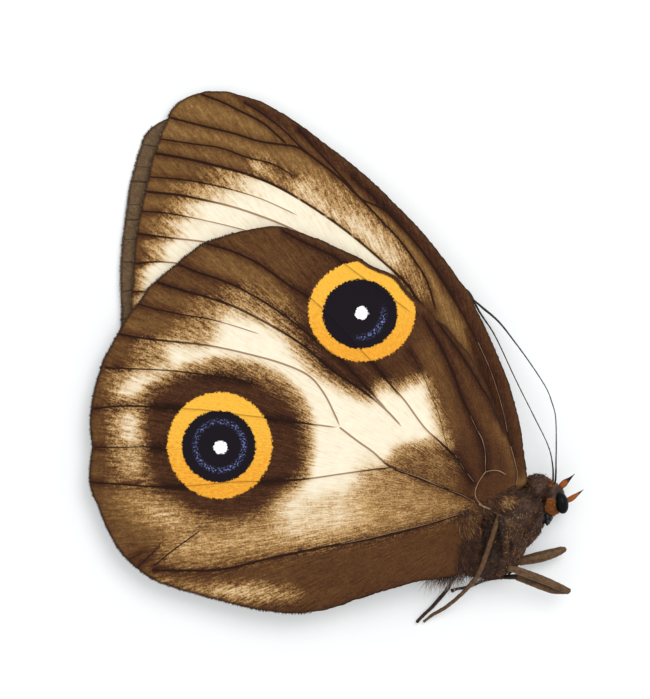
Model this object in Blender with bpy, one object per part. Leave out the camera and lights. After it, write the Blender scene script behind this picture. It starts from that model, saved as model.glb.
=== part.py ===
"""A dried butterfly lying on its side with its wings closed over its back.

The sheet that the butterfly lies on is the plane z = 0.  The near side is the side that faces up,
the far side is the one that it lies on.  All dimensions are in millimetres until a mesh is made.
"""
import math

import bmesh
import bpy
import numpy as np
from mathutils import Matrix, Vector
from mathutils.geometry import delaunay_2d_cdt

MM = 0.001

# The thorax is an ellipsoid. BODY_TURN is the angle in plan from +X to the line from tail to head.
BODY_TURN = math.radians(39.0)
THORAX_CENTRE = (17.2, -16.5, 2.55)
THORAX_HALF_LENGTH = 4.4
THORAX_HALF_DEPTH = 3.35
THORAX_HALF_WIDTH = 2.7
FIT_GAP = 0.25

# The four wings lie in a stack. The plane between the two sides slopes down from the thorax to
# where the far wings touch the sheet, at the tip of the forewing and at the edge of the hindwing.
WING_THICKNESS = 0.24
WING_GAP = 0.3
VEIN_HEIGHT = 0.1
VEIN_HALF_WIDTH = 0.28
FOREWING_OFFSET = 0.5 * (WING_GAP + WING_THICKNESS)
HINDWING_OFFSET = FOREWING_OFFSET + WING_THICKNESS + WING_GAP + VEIN_HEIGHT
FOREWING_REST = (-15.2, 23.4)
HINDWING_REST = (-24.0, -8.0)
BOW_HEIGHT = 0.45
BOW_CENTRE = (-3.0, 2.0)
BOW_REACH = 13.0
WING_ROOT = (16.6, -14.2)
NEAR_ROOT_RISE = 2.3
FAR_ROOT_RISE = 1.9
ROOT_SPREAD = 4.6
ABDOMEN_RISE = 0.75
ABDOMEN_SPREAD = 1.5

# Where each wing goes in plan: its turn about the pivot, its scale and its shift. The far wings are
# a little smaller, and hinge a little higher up the thorax. The far forewing is turned, so its outer
# edge shows at the left.
WING_PIVOT = (17.0, -14.0)
NEAR_PLACE = (0.0, 1.0, (0.0, 0.0))
FAR_FOREWING_PLACE = (math.radians(5.2), 0.992, (0.3, 0.8))
FAR_HINDWING_PLACE = (0.0, 0.985, (-0.05, 0.4))

# How finely the wings are divided, and how far their inner points stay from edges and veins.
EDGE_STEP = 1.8
VEIN_STEP = 3.4
FIELD_STEP = 3.6
EDGE_CLEARANCE = 1.44
VEIN_CLEARANCE = 1.26
SAME_POINT = 0.02

# Wing outlines seen from above, each from the root along the leading edge, round the outer edge
# and back to the root.
FOREWING_OUTLINE = [
    (18.9, -12.4), (18.9, -9.0), (18.2, -5.4), (16.6, -0.6), (14.3, 4.5), (11.3, 9.4),
    (7.3, 14.2), (2.6, 18.6), (-2.5, 22.6), (-6.7, 25.3), (-9.8, 26.5), (-12.4, 26.8),
    (-14.6, 26.3), (-16.2, 25.1), (-17.1, 23.2), (-18.6, 18.9), (-19.7, 13.7),
    (-20.25, 7.7), (-20.4, 4.5), (-19.8, 2.3), (-17.0, 0.2), (-8.0, -3.8), (2.0, -8.0),
    (9.5, -11.4), (13.6, -13.2), (16.6, -13.6),
]
HINDWING_OUTLINE = [
    (18.0, -12.9), (18.1, -11.4), (17.7, -9.6), (16.7, -6.8), (15.6, -4.3), (14.5, -1.5),
    (12.7, 1.2), (11.2, 3.2), (10.0, 4.0), (8.2, 5.8), (6.3, 7.7), (4.0, 9.1), (1.0, 10.6),
    (-2.3, 12.2), (-5.5, 13.1), (-9.0, 12.75), (-13.5, 11.2), (-16.7, 8.7), (-19.2, 6.1),
    (-21.6, 2.7), (-23.2, -0.4), (-24.3, -4.3), (-24.45, -8.6), (-24.6, -11.6),
    (-23.8, -15.0), (-22.3, -18.1), (-19.6, -21.2), (-16.0, -23.1), (-11.0, -24.4),
    (-5.0, -25.5), (0.0, -24.9), (6.0, -22.9), (10.5, -22.0), (13.2, -21.4), (14.2, -18.6),
    (15.0, -15.4), (16.9, -14.3),
]

# The main veins, from the root side to the outer edge.
FOREWING_VEINS = [
    [(17.6, -8.0), (14.4, 1.9), (10.9, 7.7), (6.2, 13.6), (-0.2, 19.2), (-5.4, 22.3)],
    [(8.0, 9.5), (3.8, 14.7), (-1.5, 19.5), (-6.0, 21.4), (-12.0, 23.1), (-16.0, 24.0)],
    [(5.8, 8.8), (1.8, 12.2), (-3.6, 15.9), (-7.5, 17.9), (-11.5, 19.1), (-17.6, 20.3)],
    [(-5.0, 18.4), (-9.0, 20.2), (-13.5, 21.3), (-16.9, 21.9)],
    [(-3.6, 14.2), (-8.8, 16.5), (-13.0, 17.3), (-18.0, 18.1)],
    [(-5.0, 13.3), (-10.2, 14.7), (-14.2, 15.8), (-18.4, 16.6)],
    [(-8.9, 12.9), (-14.0, 14.1), (-19.0, 14.8)],
]
HINDWING_VEINS = [
    [(14.9, -11.4), (13.6, -6.6), (11.1, -1.5), (7.4, 4.5), (2.2, 8.5), (-4.2, 12.1)],
    [(13.6, -12.4), (10.0, -8.0), (5.6, -3.3), (1.2, 2.6), (-4.5, 7.2), (-12.0, 11.1)],
    [(5.0, -4.6), (1.1, -0.7), (-4.4, 3.7), (-10.0, 7.1), (-15.3, 9.2)],
    [(3.5, -4.0), (-2.3, 0.5), (-8.7, 4.4), (-14.3, 6.4), (-17.1, 7.1)],
    [(1.0, -6.8), (-1.1, -3.6), (-5.1, -0.7), (-11.3, 1.0), (-21.2, 2.2)],
    [(-1.0, -6.9), (-6.5, -6.0), (-13.0, -5.3), (-18.5, -5.0), (-23.9, -5.0)],
    [(14.3, -14.4), (8.4, -12.0), (2.0, -8.4), (-1.0, -6.9)],
    [(5.6, -11.0), (0.6, -11.7), (-6.5, -12.3), (-15.5, -12.9), (-24.0, -12.6)],
    [(12.5, -15.6), (6.2, -17.4), (-0.9, -18.9), (-8.7, -20.6), (-13.0, -21.3), (-17.0, -21.4)],
]

# The block that the thorax is cut flat with, where it lies on the sheet.
FLOOR_BLOCK_SIZES = (30.0, 30.0, 10.0)

HEAD_CENTRE = (21.85, -14.0, 2.6)
HEAD_HALF_SIZES = (1.15, 1.6, 1.45)
HEAD_TURN = 0.2
EYE_GAP = 0.08
COLLAR_CENTRE = (20.15, -13.05, 2.6)
COLLAR_HALF_SIZES = (1.5, 1.35, 1.75)
EYE_PLACE = (22.45, -14.5)
EYE_OUT = 1.02
EYE_HALF_SIZES = (0.95, 1.05, 0.72)
FLANK_CENTRE = (16.2, -19.6, 2.5)
FLANK_HALF_SIZES = (2.9, 2.3, 2.0)

# A slender piece ends in a short step to a smaller cap, in shares of its radius there. The caps
# come loose from a curve and are welded to it.
TIP_LENGTH_SHARE = 0.6
TIP_RADIUS_SHARE = 0.5
WELD_DISTANCE = 0.002

# About how far apart the rings of each slender piece are, along it.
ABDOMEN_STEP = 1.4
ABDOMEN_ROOM_STEP = 1.2
ANTENNA_STEP = 1.3
PALP_STEP = 0.6
PROBOSCIS_STEP = 1.0
FORELEG_STEP = 0.8
FEMUR_STEP = 1.6
LOWER_LEG_STEP = 1.4

# Edges that turn by more than this stay sharp when a piece is shaded.
SHARP_ANGLE = math.radians(35.0)

# Paths of the slender pieces: (x, y, z, radius), from where each starts on the body.
ABDOMEN_PATH = [
    (13.1, -19.2, 2.6, 0.75), (12.6, -19.45, 2.6, 1.1), (11.0, -20.2, 2.58, 1.15),
    (9.2, -21.0, 2.55, 1.05), (7.4, -21.7, 2.5, 0.9), (5.8, -22.2, 2.45, 0.7),
    (4.6, -22.6, 2.4, 0.35),
]
ANTENNA_PATHS = {
    "antenna_near": [
        (22.05, -12.15, 3.1, 0.11), (22.1, -10.3, 3.1, 0.1), (22.1, -8.0, 3.05, 0.09),
        (22.0, -5.9, 3.0, 0.09), (21.1, -3.0, 2.8, 0.09), (19.6, -0.65, 2.55, 0.09),
        (17.9, 1.7, 2.3, 0.1), (16.4, 3.6, 2.0, 0.12), (14.6, 5.05, 1.7, 0.13),
        (13.95, 5.7, 1.6, 0.08),
    ],
    "antenna_far": [
        (21.75, -12.15, 2.3, 0.11), (21.75, -10.4, 2.3, 0.1), (21.3, -8.7, 2.2, 0.09),
        (20.0, -6.0, 1.95, 0.09), (18.15, -2.25, 1.5, 0.09), (16.1, 2.15, 0.95, 0.1),
        (14.6, 4.5, 0.6, 0.13), (13.6, 6.4, 0.35, 0.14), (13.05, 6.9, 0.3, 0.08),
    ],
}
PALP_PATHS = {
    "palp_near": [(23.5, -14.25, 2.7, 0.24), (23.85, -14.0, 2.75, 0.26), (24.3, -13.65, 2.8, 0.17),
                  (24.75, -13.3, 2.8, 0.06)],
    "palp_far": [(22.95, -12.6, 2.3, 0.26), (23.2, -12.4, 2.25, 0.26), (23.55, -12.1, 2.2, 0.16),
                 (23.9, -11.8, 2.15, 0.06)],
}
PROBOSCIS_CENTRE = (21.2, -16.2, 2.6)
PROBOSCIS_RADIUS = 0.46
PROBOSCIS_TURNS = 1.25
PROBOSCIS_START_ANGLE = 0.4
PROBOSCIS_INNER_SHARE = 0.28
PROBOSCIS_STEPS = 20
PROBOSCIS_TUBE = 0.1
PROBOSCIS_TIP_SHARE = 0.8
MOUTH_ROOM_HALF_SIZES = (0.78, 0.78, 0.5)
FORELEG_PATHS = {
    "foreleg_near": [(20.7, -15.5, 4.5, 0.16), (20.2, -16.3, 4.9, 0.3), (19.5, -17.2, 5.05, 0.26),
                     (18.9, -18.1, 4.9, 0.1)],
    "foreleg_far": [(20.7, -15.5, 0.6, 0.14), (20.2, -16.3, 0.32, 0.2), (19.5, -17.2, 0.23, 0.17),
                    (18.9, -18.1, 0.24, 0.1)],
}
# Each leg is a femur, a tibia and a tarsus.
LEG_PATHS = {
    "midleg_near": [
        [(17.3, -20.95, 4.5, 0.3), (18.5, -21.35, 3.9, 0.36), (20.7, -22.2, 3.1, 0.34),
         (23.3, -23.3, 2.7, 0.26)],
        [(23.35, -23.5, 2.4, 0.26), (20.9, -23.0, 2.25, 0.36), (18.2, -22.0, 2.35, 0.3)],
        [(18.2, -21.95, 2.35, 0.28), (16.4, -22.1, 1.3, 0.24), (15.0, -22.4, 0.75, 0.22),
         (13.4, -23.1, 0.45, 0.2), (11.8, -23.5, 0.3, 0.16)],
    ],
    "midleg_far": [
        [(18.85, -20.4, 1.75, 0.44), (20.4, -20.05, 1.65, 0.52), (21.9, -19.65, 1.5, 0.44),
         (22.95, -19.3, 1.5, 0.28)],
        [(23.0, -19.35, 1.35, 0.22), (21.0, -19.9, 0.75, 0.28), (18.6, -20.5, 0.4, 0.26)],
        [(18.6, -20.5, 0.4, 0.25), (17.9, -21.3, 0.25, 0.16), (17.5, -21.9, 0.2, 0.12)],
    ],
    "hindleg_near": [
        [(17.0, -19.6, 5.05, 0.3), (16.75, -17.4, 5.65, 0.36), (16.4, -15.8, 5.6, 0.26)],
        [(16.4, -15.7, 5.6, 0.26), (15.4, -18.6, 5.35, 0.28), (14.55, -20.8, 4.6, 0.28),
         (13.95, -22.2, 3.4, 0.27)],
        [(13.95, -22.2, 3.4, 0.27), (12.7, -23.7, 2.1, 0.24), (11.2, -25.05, 1.1, 0.22),
         (9.9, -25.85, 0.6, 0.2), (8.95, -26.6, 0.3, 0.16)],
    ],
    "hindleg_far": [
        [(12.8, -20.8, 0.3, 0.2), (12.1, -21.9, 0.32, 0.24), (11.2, -23.5, 0.35, 0.24)],
        [(11.2, -23.5, 0.35, 0.24), (9.8, -25.1, 0.33, 0.22), (8.75, -26.1, 0.3, 0.2),
         (8.25, -26.65, 0.28, 0.16)],
    ],
}


def remove_start_objects():
    for start_object in list(bpy.data.objects):
        bpy.data.objects.remove(start_object, do_unlink=True)


def make_collection(name):
    collection = bpy.data.collections.new(name)
    bpy.context.scene.collection.children.link(collection)
    return collection


def make_material(name, colour, roughness):
    material = bpy.data.materials.new(name)
    material.use_nodes = True
    shader = material.node_tree.nodes["Principled BSDF"]
    shader.inputs["Base Color"].default_value = (*colour, 1.0)
    shader.inputs["Roughness"].default_value = roughness
    shader.inputs["Metallic"].default_value = 0.0
    return material


def smooth_line(points, step, closed=False):
    """A Catmull-Rom curve through the points, read off about every `step` along it."""
    points = [np.array(point, dtype=float) for point in points]
    count = len(points)
    spans = count if closed else count - 1
    line = []
    for index in range(spans):
        if closed:
            before, start, end, after = (points[(index + shift) % count] for shift in (-1, 0, 1, 2))
        else:
            start, end = points[index], points[index + 1]
            before = points[index - 1] if index > 0 else 2.0 * start - end
            after = points[index + 2] if index + 2 < count else 2.0 * end - start
        pieces = max(1, round(float(np.linalg.norm((end - start)[:2])) / step))
        for piece in range(pieces):
            t = piece / pieces
            line.append(0.5 * (2.0 * start + (end - before) * t
                               + (2.0 * before - 5.0 * start + 4.0 * end - after) * t ** 2
                               + (3.0 * start - before - 3.0 * end + after) * t ** 3))
    if not closed:
        line.append(points[-1])
    return np.array(line)


def solve_middle_plane():
    """The plane between the two sides: a + b x + c y, from the three places that hold it up."""
    below_forewing = FOREWING_OFFSET + 0.5 * WING_THICKNESS + VEIN_HEIGHT
    below_hindwing = HINDWING_OFFSET + 0.5 * WING_THICKNESS + VEIN_HEIGHT
    places = [(1.0, *THORAX_CENTRE[:2]), (1.0, *FOREWING_REST), (1.0, *HINDWING_REST)]
    return np.linalg.solve(np.array(places), np.array([THORAX_CENTRE[2], below_forewing, below_hindwing]))


MIDDLE_PLANE = solve_middle_plane()


def bell(distance, reach):
    return np.exp(-0.5 * (distance / reach) ** 2)


def distance_to_line(points, line):
    """Shortest distance in plan from each point to the chain of straight runs through `line`."""
    nearest = np.full(len(points), 1e9)
    for start, end in zip(line[:-1], line[1:]):
        run = end[:2] - start[:2]
        share = np.clip(((points - start[:2]) @ run) / (run @ run), 0.0, 1.0)
        nearest = np.minimum(nearest, np.linalg.norm(points - start[:2] - share[:, None] * run, axis=1))
    return nearest


def middle_height(points):
    bow = BOW_HEIGHT * bell(np.linalg.norm(points - np.array(BOW_CENTRE), axis=1), BOW_REACH)
    return MIDDLE_PLANE[0] + points @ MIDDLE_PLANE[1:] + bow


def wing_height(points, side, offset, is_hindwing):
    """Height of the middle of a wing's thickness. `side` is 1 on the near side, -1 on the far.

    At the root the wings part to pass either side of the thorax, and the hindwings part again
    to pass either side of the abdomen.
    """
    root_rise = NEAR_ROOT_RISE if side > 0 else FAR_ROOT_RISE
    from_root = np.linalg.norm(points - np.array(WING_ROOT), axis=1)
    rise = root_rise * bell(from_root, ROOT_SPREAD)
    if is_hindwing:
        abdomen_line = smooth_line([point[:2] for point in ABDOMEN_PATH], 1.0)
        over_abdomen = ABDOMEN_RISE * bell(distance_to_line(points, abdomen_line), ABDOMEN_SPREAD)
        rise = np.maximum(rise, over_abdomen)
    height = middle_height(points) + side * (offset + rise)
    lowest = 0.5 * WING_THICKNESS + VEIN_HEIGHT
    if not is_hindwing:
        lowest += (HINDWING_OFFSET - FOREWING_OFFSET) * bell(from_root, ROOT_SPREAD)
    return np.maximum(height, lowest) if side < 0 else height


def place_in_plan(points, place):
    """Turns and scales the drawn points about the pivot, then shifts them."""
    turn, scale, shift = place
    pivot = np.array(WING_PIVOT)
    cos_turn, sin_turn = math.cos(turn) * scale, math.sin(turn) * scale
    rotation = np.array([[cos_turn, sin_turn], [-sin_turn, cos_turn]])
    return (points - pivot) @ rotation + pivot + np.array(shift)


def side_lines(line, half_width):
    """The two feet of a vein's ridge: the line moved to its left and right."""
    run = np.gradient(line, axis=0)
    left = np.stack([-run[:, 1], run[:, 0]], axis=1) / np.linalg.norm(run, axis=1)[:, None]
    return line + half_width * left, line - half_width * left


def is_inside(points, outline):
    """Whether each point is inside the closed outline, by counting the edges to its right."""
    inside = np.zeros(len(points), dtype=bool)
    for start, end in zip(outline, np.roll(outline, -1, axis=0)):
        crosses = (start[1] > points[:, 1]) != (end[1] > points[:, 1])
        rise = end[1] - start[1] if end[1] != start[1] else 1e-9
        edge_x = start[0] + (points[:, 1] - start[1]) * (end[0] - start[0]) / rise
        inside ^= crosses & (points[:, 0] < edge_x)
    return inside


def field_points(outline, vein_lines):
    """A staggered grid of points inside the outline, clear of its edge and of the veins."""
    low, high = outline.min(axis=0), outline.max(axis=0)
    rows = np.arange(low[1], high[1], FIELD_STEP * math.sqrt(0.75))
    grid = [(x + (row % 2) * 0.5 * FIELD_STEP, y)
            for row, y in enumerate(rows) for x in np.arange(low[0], high[0], FIELD_STEP)]
    grid = np.array(grid)
    grid = grid[is_inside(grid, outline)]
    clear = distance_to_line(grid, np.vstack([outline, outline[:1]])) > EDGE_CLEARANCE
    for line in vein_lines:
        clear &= distance_to_line(grid, line) > VEIN_CLEARANCE
    return grid[clear]


def make_wing(name, side, is_hindwing, place, material):
    """A closed thin plate that follows wing_height, with its veins raised on the outer face."""
    outline_points = HINDWING_OUTLINE if is_hindwing else FOREWING_OUTLINE
    vein_points = HINDWING_VEINS if is_hindwing else FOREWING_VEINS
    offset = HINDWING_OFFSET if is_hindwing else FOREWING_OFFSET
    outline = place_in_plan(smooth_line(outline_points, EDGE_STEP, closed=True), place)
    veins = [place_in_plan(smooth_line(points, VEIN_STEP), place) for points in vein_points]
    plan, edges = [], []

    def add_line(line, closed=False):
        first = len(plan)
        plan.extend(Vector(point) for point in line)
        edges.extend((first + i, first + i + 1) for i in range(len(line) - 1))
        if closed:
            edges.append((first + len(line) - 1, first))

    add_line(outline, closed=True)
    for vein in veins:
        for line in (vein, *side_lines(vein, VEIN_HALF_WIDTH)):
            add_line(line[is_inside(line, outline)])
    plan.extend(Vector(point) for point in field_points(outline, veins))
    inside_only = 1
    border = [list(range(len(outline)))]
    plan, _, faces = delaunay_2d_cdt(plan, edges, border, inside_only, SAME_POINT)[:3]

    flat = np.array([tuple(point) for point in plan])
    middle = wing_height(flat, side, offset, is_hindwing)
    nearest_vein = np.min([distance_to_line(flat, vein) for vein in veins], axis=0)
    ridge = VEIN_HEIGHT * np.clip(1.0 - nearest_vein / VEIN_HALF_WIDTH, 0.0, 1.0)
    outer = middle + side * (0.5 * WING_THICKNESS + ridge)
    inner = middle - side * 0.5 * WING_THICKNESS

    shape = bmesh.new()
    outer_verts = [shape.verts.new((x * MM, y * MM, z * MM)) for (x, y), z in zip(flat, outer)]
    sheet = [shape.faces.new([outer_verts[i] for i in face]) for face in faces]
    extruded = bmesh.ops.extrude_face_region(shape, geom=sheet, use_keep_orig=True)
    for vert in (item for item in extruded["geom"] if isinstance(item, bmesh.types.BMVert)):
        index = int(np.argmin(np.hypot(*(flat * MM - np.array(vert.co)[:2]).T)))
        vert.co.z = inner[index] * MM
    bmesh.ops.delete(shape, geom=[vert for vert in shape.verts if not vert.link_faces], context="VERTS")
    bmesh.ops.recalc_face_normals(shape, faces=shape.faces)
    return add_object(name, shape, material)


def add_object(name, shape, material, smooth=True):
    mesh = bpy.data.meshes.new(name)
    shape.to_mesh(mesh)
    shape.free()
    piece = bpy.data.objects.new(name, mesh)
    mesh.materials.append(material)
    if smooth:
        mesh.shade_smooth()
        mesh.set_sharp_from_angle(angle=SHARP_ANGLE)
    PIECES.objects.link(piece)
    return piece


def make_ellipsoid(name, centre, half_sizes, turn, material, rings=10, segments=16):
    shape = bmesh.new()
    bmesh.ops.create_uvsphere(shape, u_segments=segments, v_segments=rings, radius=MM)
    place = (Matrix.Translation(Vector(centre) * MM) @ Matrix.Rotation(turn, 4, "Z")
             @ Matrix.Diagonal((*half_sizes, 1.0)))
    bmesh.ops.transform(shape, matrix=place, verts=shape.verts)
    return add_object(name, shape, material)


def make_tube(name, path, step, material, sides_resolution=2):
    """A tapered rod along (x, y, z, radius) points, from a curve with a bevel and filled caps."""
    line = smooth_line(path, step)
    first, last = line[0], line[-1]
    start_tip = first + TIP_LENGTH_SHARE * first[3] * unit_step(line[0], line[1])
    end_tip = last + TIP_LENGTH_SHARE * last[3] * unit_step(line[-1], line[-2])
    start_tip[3] = TIP_RADIUS_SHARE * first[3]
    end_tip[3] = TIP_RADIUS_SHARE * last[3]
    line = np.vstack([start_tip, line, end_tip])
    curve = bpy.data.curves.new(name, "CURVE")
    curve.dimensions = "3D"
    curve.bevel_depth = MM
    curve.bevel_resolution = sides_resolution
    curve.use_fill_caps = True
    spline = curve.splines.new("POLY")
    spline.points.add(len(line) - 1)
    for point, (x, y, z, radius) in zip(spline.points, line):
        point.co = (x * MM, y * MM, z * MM, 1.0)
        point.radius = radius
    guide = bpy.data.objects.new(name + "_curve", curve)
    PIECES.objects.link(guide)
    bpy.context.view_layer.update()
    evaluated = guide.evaluated_get(bpy.context.evaluated_depsgraph_get())
    mesh = bpy.data.meshes.new_from_object(evaluated)
    bpy.data.objects.remove(guide, do_unlink=True)
    shape = bmesh.new()
    shape.from_mesh(mesh)
    bpy.data.meshes.remove(mesh)
    bmesh.ops.remove_doubles(shape, verts=shape.verts, dist=WELD_DISTANCE * MM)
    bmesh.ops.recalc_face_normals(shape, faces=shape.faces)
    return add_object(name, shape, material)


def unit_step(start, toward):
    """A unit step from `start` away from `toward`, with no change of radius."""
    step = start - toward
    step[3] = 0.0
    return step / np.linalg.norm(step[:3])


def use_as_tool(tool):
    """Moves a solid to the cutters, where it shapes other pieces and isn't a piece itself."""
    PIECES.objects.unlink(tool)
    CUTTERS.objects.link(tool)
    tool.hide_render = True
    tool.display_type = "WIRE"


def combine(piece, tool, operation):
    modifier = piece.modifiers.new(operation.lower(), "BOOLEAN")
    modifier.operation = operation
    modifier.solver = "EXACT"
    modifier.object = tool


def grown(half_sizes, gap):
    return tuple(size + gap for size in half_sizes)


def eye_centre(side):
    return (*EYE_PLACE, HEAD_CENTRE[2] + side * EYE_OUT)


def make_head(fur, eye_glass):
    head = make_ellipsoid("head", HEAD_CENTRE, HEAD_HALF_SIZES, HEAD_TURN, fur, 10, 14)
    room_sizes = grown(EYE_HALF_SIZES, EYE_GAP)
    for name, side in (("eye_near", 1), ("eye_far", -1)):
        make_ellipsoid(name, eye_centre(side), EYE_HALF_SIZES, HEAD_TURN, eye_glass, 8, 14)
        room = make_ellipsoid(name + "_room", eye_centre(side), room_sizes, HEAD_TURN, fur, 8, 14)
        use_as_tool(room)
        combine(head, room, "DIFFERENCE")
    return head


def make_block_below_sheet(material):
    """A block under the thorax with its top on the sheet, which cuts the thorax flat."""
    middle = Vector((*THORAX_CENTRE[:2], -0.5 * FLOOR_BLOCK_SIZES[2]))
    shape = bmesh.new()
    place = Matrix.Translation(middle * MM) @ Matrix.Diagonal((*(Vector(FLOOR_BLOCK_SIZES) * MM), 1.0))
    bmesh.ops.create_cube(shape, size=1.0, matrix=place)
    return add_object("below_sheet", shape, material, smooth=False)


def make_thorax(fur):
    """The thorax with its collar and lower flank in one, pressed flat where it lies."""
    half_sizes = (THORAX_HALF_LENGTH, THORAX_HALF_DEPTH, THORAX_HALF_WIDTH)
    thorax = make_ellipsoid("thorax", THORAX_CENTRE, half_sizes, BODY_TURN, fur, 12, 18)
    collar = make_ellipsoid("collar", COLLAR_CENTRE, COLLAR_HALF_SIZES, BODY_TURN, fur, 8, 14)
    flank = make_ellipsoid("flank", FLANK_CENTRE, FLANK_HALF_SIZES, BODY_TURN, fur, 8, 14)
    head_sizes = grown(HEAD_HALF_SIZES, FIT_GAP)
    head_room = make_ellipsoid("head_room", HEAD_CENTRE, head_sizes, HEAD_TURN, fur)
    room_path = widened(ABDOMEN_PATH, FIT_GAP)
    abdomen_room = make_tube("abdomen_room", room_path, ABDOMEN_ROOM_STEP, fur, 4)
    mouth_room = make_ellipsoid("mouth_room", PROBOSCIS_CENTRE, MOUTH_ROOM_HALF_SIZES, 0.0, fur)
    below_sheet = make_block_below_sheet(fur)
    for tool, operation in ((collar, "UNION"), (flank, "UNION"), (head_room, "DIFFERENCE"),
                            (abdomen_room, "DIFFERENCE"), (mouth_room, "DIFFERENCE"),
                            (below_sheet, "DIFFERENCE")):
        use_as_tool(tool)
        combine(thorax, tool, operation)
    return thorax


def widened(path, gap):
    return [(x, y, z, radius + gap) for x, y, z, radius in path]


def make_leg(name, paths, material):
    """The first length of a leg, with the others joined to it."""
    leg = make_tube(name, paths[0], FEMUR_STEP, material)
    for number, path in enumerate(paths[1:], start=2):
        length = make_tube(f"{name}_length_{number}", path, LOWER_LEG_STEP, material)
        use_as_tool(length)
        combine(leg, length, "UNION")
    return leg


def make_proboscis(material):
    """The coiled tongue: a spiral that opens outwards as it turns."""
    centre = np.array(PROBOSCIS_CENTRE)
    path = []
    for share in np.linspace(0.0, 1.0, PROBOSCIS_STEPS + 1):
        angle = 2.0 * math.pi * PROBOSCIS_TURNS * share + PROBOSCIS_START_ANGLE
        reach = PROBOSCIS_RADIUS * (PROBOSCIS_INNER_SHARE + (1.0 - PROBOSCIS_INNER_SHARE) * share)
        radius = PROBOSCIS_TUBE * (PROBOSCIS_TIP_SHARE + (1.0 - PROBOSCIS_TIP_SHARE) * share)
        place = centre + (reach * math.cos(angle), reach * math.sin(angle), 0.0)
        path.append((*place, radius))
    return make_tube("proboscis", path, PROBOSCIS_STEP, material)


remove_start_objects()
PIECES = make_collection("dried_butterfly")
CUTTERS = make_collection("cutters")

forewing_scales = make_material("forewing_scales", (0.2, 0.12, 0.06), 0.75)
hindwing_scales = make_material("hindwing_scales", (0.13, 0.07, 0.035), 0.75)
body_fur = make_material("body_fur", (0.085, 0.05, 0.03), 0.9)
leg_scales = make_material("leg_scales", (0.16, 0.085, 0.045), 0.6)
black_shell = make_material("black_shell", (0.012, 0.011, 0.014), 0.35)
eye_glass = make_material("eye_glass", (0.01, 0.012, 0.014), 0.12)
orange_fur = make_material("orange_fur", (0.42, 0.17, 0.04), 0.85)

make_head(body_fur, eye_glass)
make_thorax(body_fur)
make_tube("abdomen", ABDOMEN_PATH, ABDOMEN_STEP, body_fur, 4)
make_proboscis(black_shell)
for palp_name, palp_path in PALP_PATHS.items():
    make_tube(palp_name, palp_path, PALP_STEP, orange_fur)
for antenna_name, antenna_path in ANTENNA_PATHS.items():
    make_tube(antenna_name, antenna_path, ANTENNA_STEP, black_shell)
for foreleg_name, foreleg_path in FORELEG_PATHS.items():
    make_tube(foreleg_name, foreleg_path, FORELEG_STEP, leg_scales)
for leg_name, leg_paths in LEG_PATHS.items():
    make_leg(leg_name, leg_paths, leg_scales)

make_wing("forewing_near", 1, False, NEAR_PLACE, forewing_scales)
make_wing("hindwing_near", 1, True, NEAR_PLACE, hindwing_scales)
make_wing("forewing_far", -1, False, FAR_FOREWING_PLACE, forewing_scales)
make_wing("hindwing_far", -1, True, FAR_HINDWING_PLACE, hindwing_scales)
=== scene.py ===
# %% [markdown]
# # A dried butterfly, wings closed
# The solids of the butterfly are already packed as a fixed frame. This notebook gives them their
# looks. Each wing, leg and tuft of hair is modelled again as a fine mesh in the place of its solid.
# The first cell loads the frame.

import math

import bmesh
import bpy
import numpy as np
from mathutils import Matrix, Vector, noise
from mathutils.geometry import delaunay_2d_cdt


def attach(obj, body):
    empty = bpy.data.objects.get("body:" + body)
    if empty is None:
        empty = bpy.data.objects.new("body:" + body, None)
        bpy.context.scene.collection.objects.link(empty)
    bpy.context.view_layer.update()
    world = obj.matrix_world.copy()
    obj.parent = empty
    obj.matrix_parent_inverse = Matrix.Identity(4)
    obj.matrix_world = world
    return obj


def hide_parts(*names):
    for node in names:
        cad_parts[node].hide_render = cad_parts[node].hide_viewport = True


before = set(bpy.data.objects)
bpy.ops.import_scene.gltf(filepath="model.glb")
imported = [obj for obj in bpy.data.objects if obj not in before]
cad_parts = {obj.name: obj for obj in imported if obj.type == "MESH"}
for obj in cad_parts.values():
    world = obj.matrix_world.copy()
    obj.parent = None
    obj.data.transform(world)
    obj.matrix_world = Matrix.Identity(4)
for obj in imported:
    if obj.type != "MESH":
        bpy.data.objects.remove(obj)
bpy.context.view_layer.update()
MM = 0.001


def add_object(name, data):
    made = bpy.data.objects.new(name, data)
    bpy.context.scene.collection.objects.link(made)
    return made


print("nodes:", sorted(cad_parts))

# %% [markdown]
# The photo was taken from straight above. A long lens well above the butterfly gives the same flat
# view, and its height follows from how much of the sheet the picture's long side takes in.

# %% Camera
PICTURE_LONG_SIDE = 69.9 * MM
VIEW_CENTRE = (-1.0 * MM, 0.8 * MM, 3.0 * MM)
LENS = 200.0
SENSOR = 36.0
camera_data = bpy.data.cameras.new("camera")
camera_data.lens = LENS
camera_data.sensor_width = SENSOR
camera_data.clip_start = 0.01
camera = add_object("camera", camera_data)
camera_height = PICTURE_LONG_SIDE * LENS / SENSOR
camera.location = (VIEW_CENTRE[0], VIEW_CENTRE[1], VIEW_CENTRE[2] + camera_height)
bpy.context.scene.camera = camera
print("camera height in mm:", round(camera_height / MM, 1))

# %% [markdown]
# Specimens are photographed on white card under a wide, soft light. Even light from all round keeps
# the card white, and one large lamp at the upper right gives the faint shadows at the lower left.
# A plain view transform keeps the white of the card and the deep browns of the wings as they are.

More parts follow.
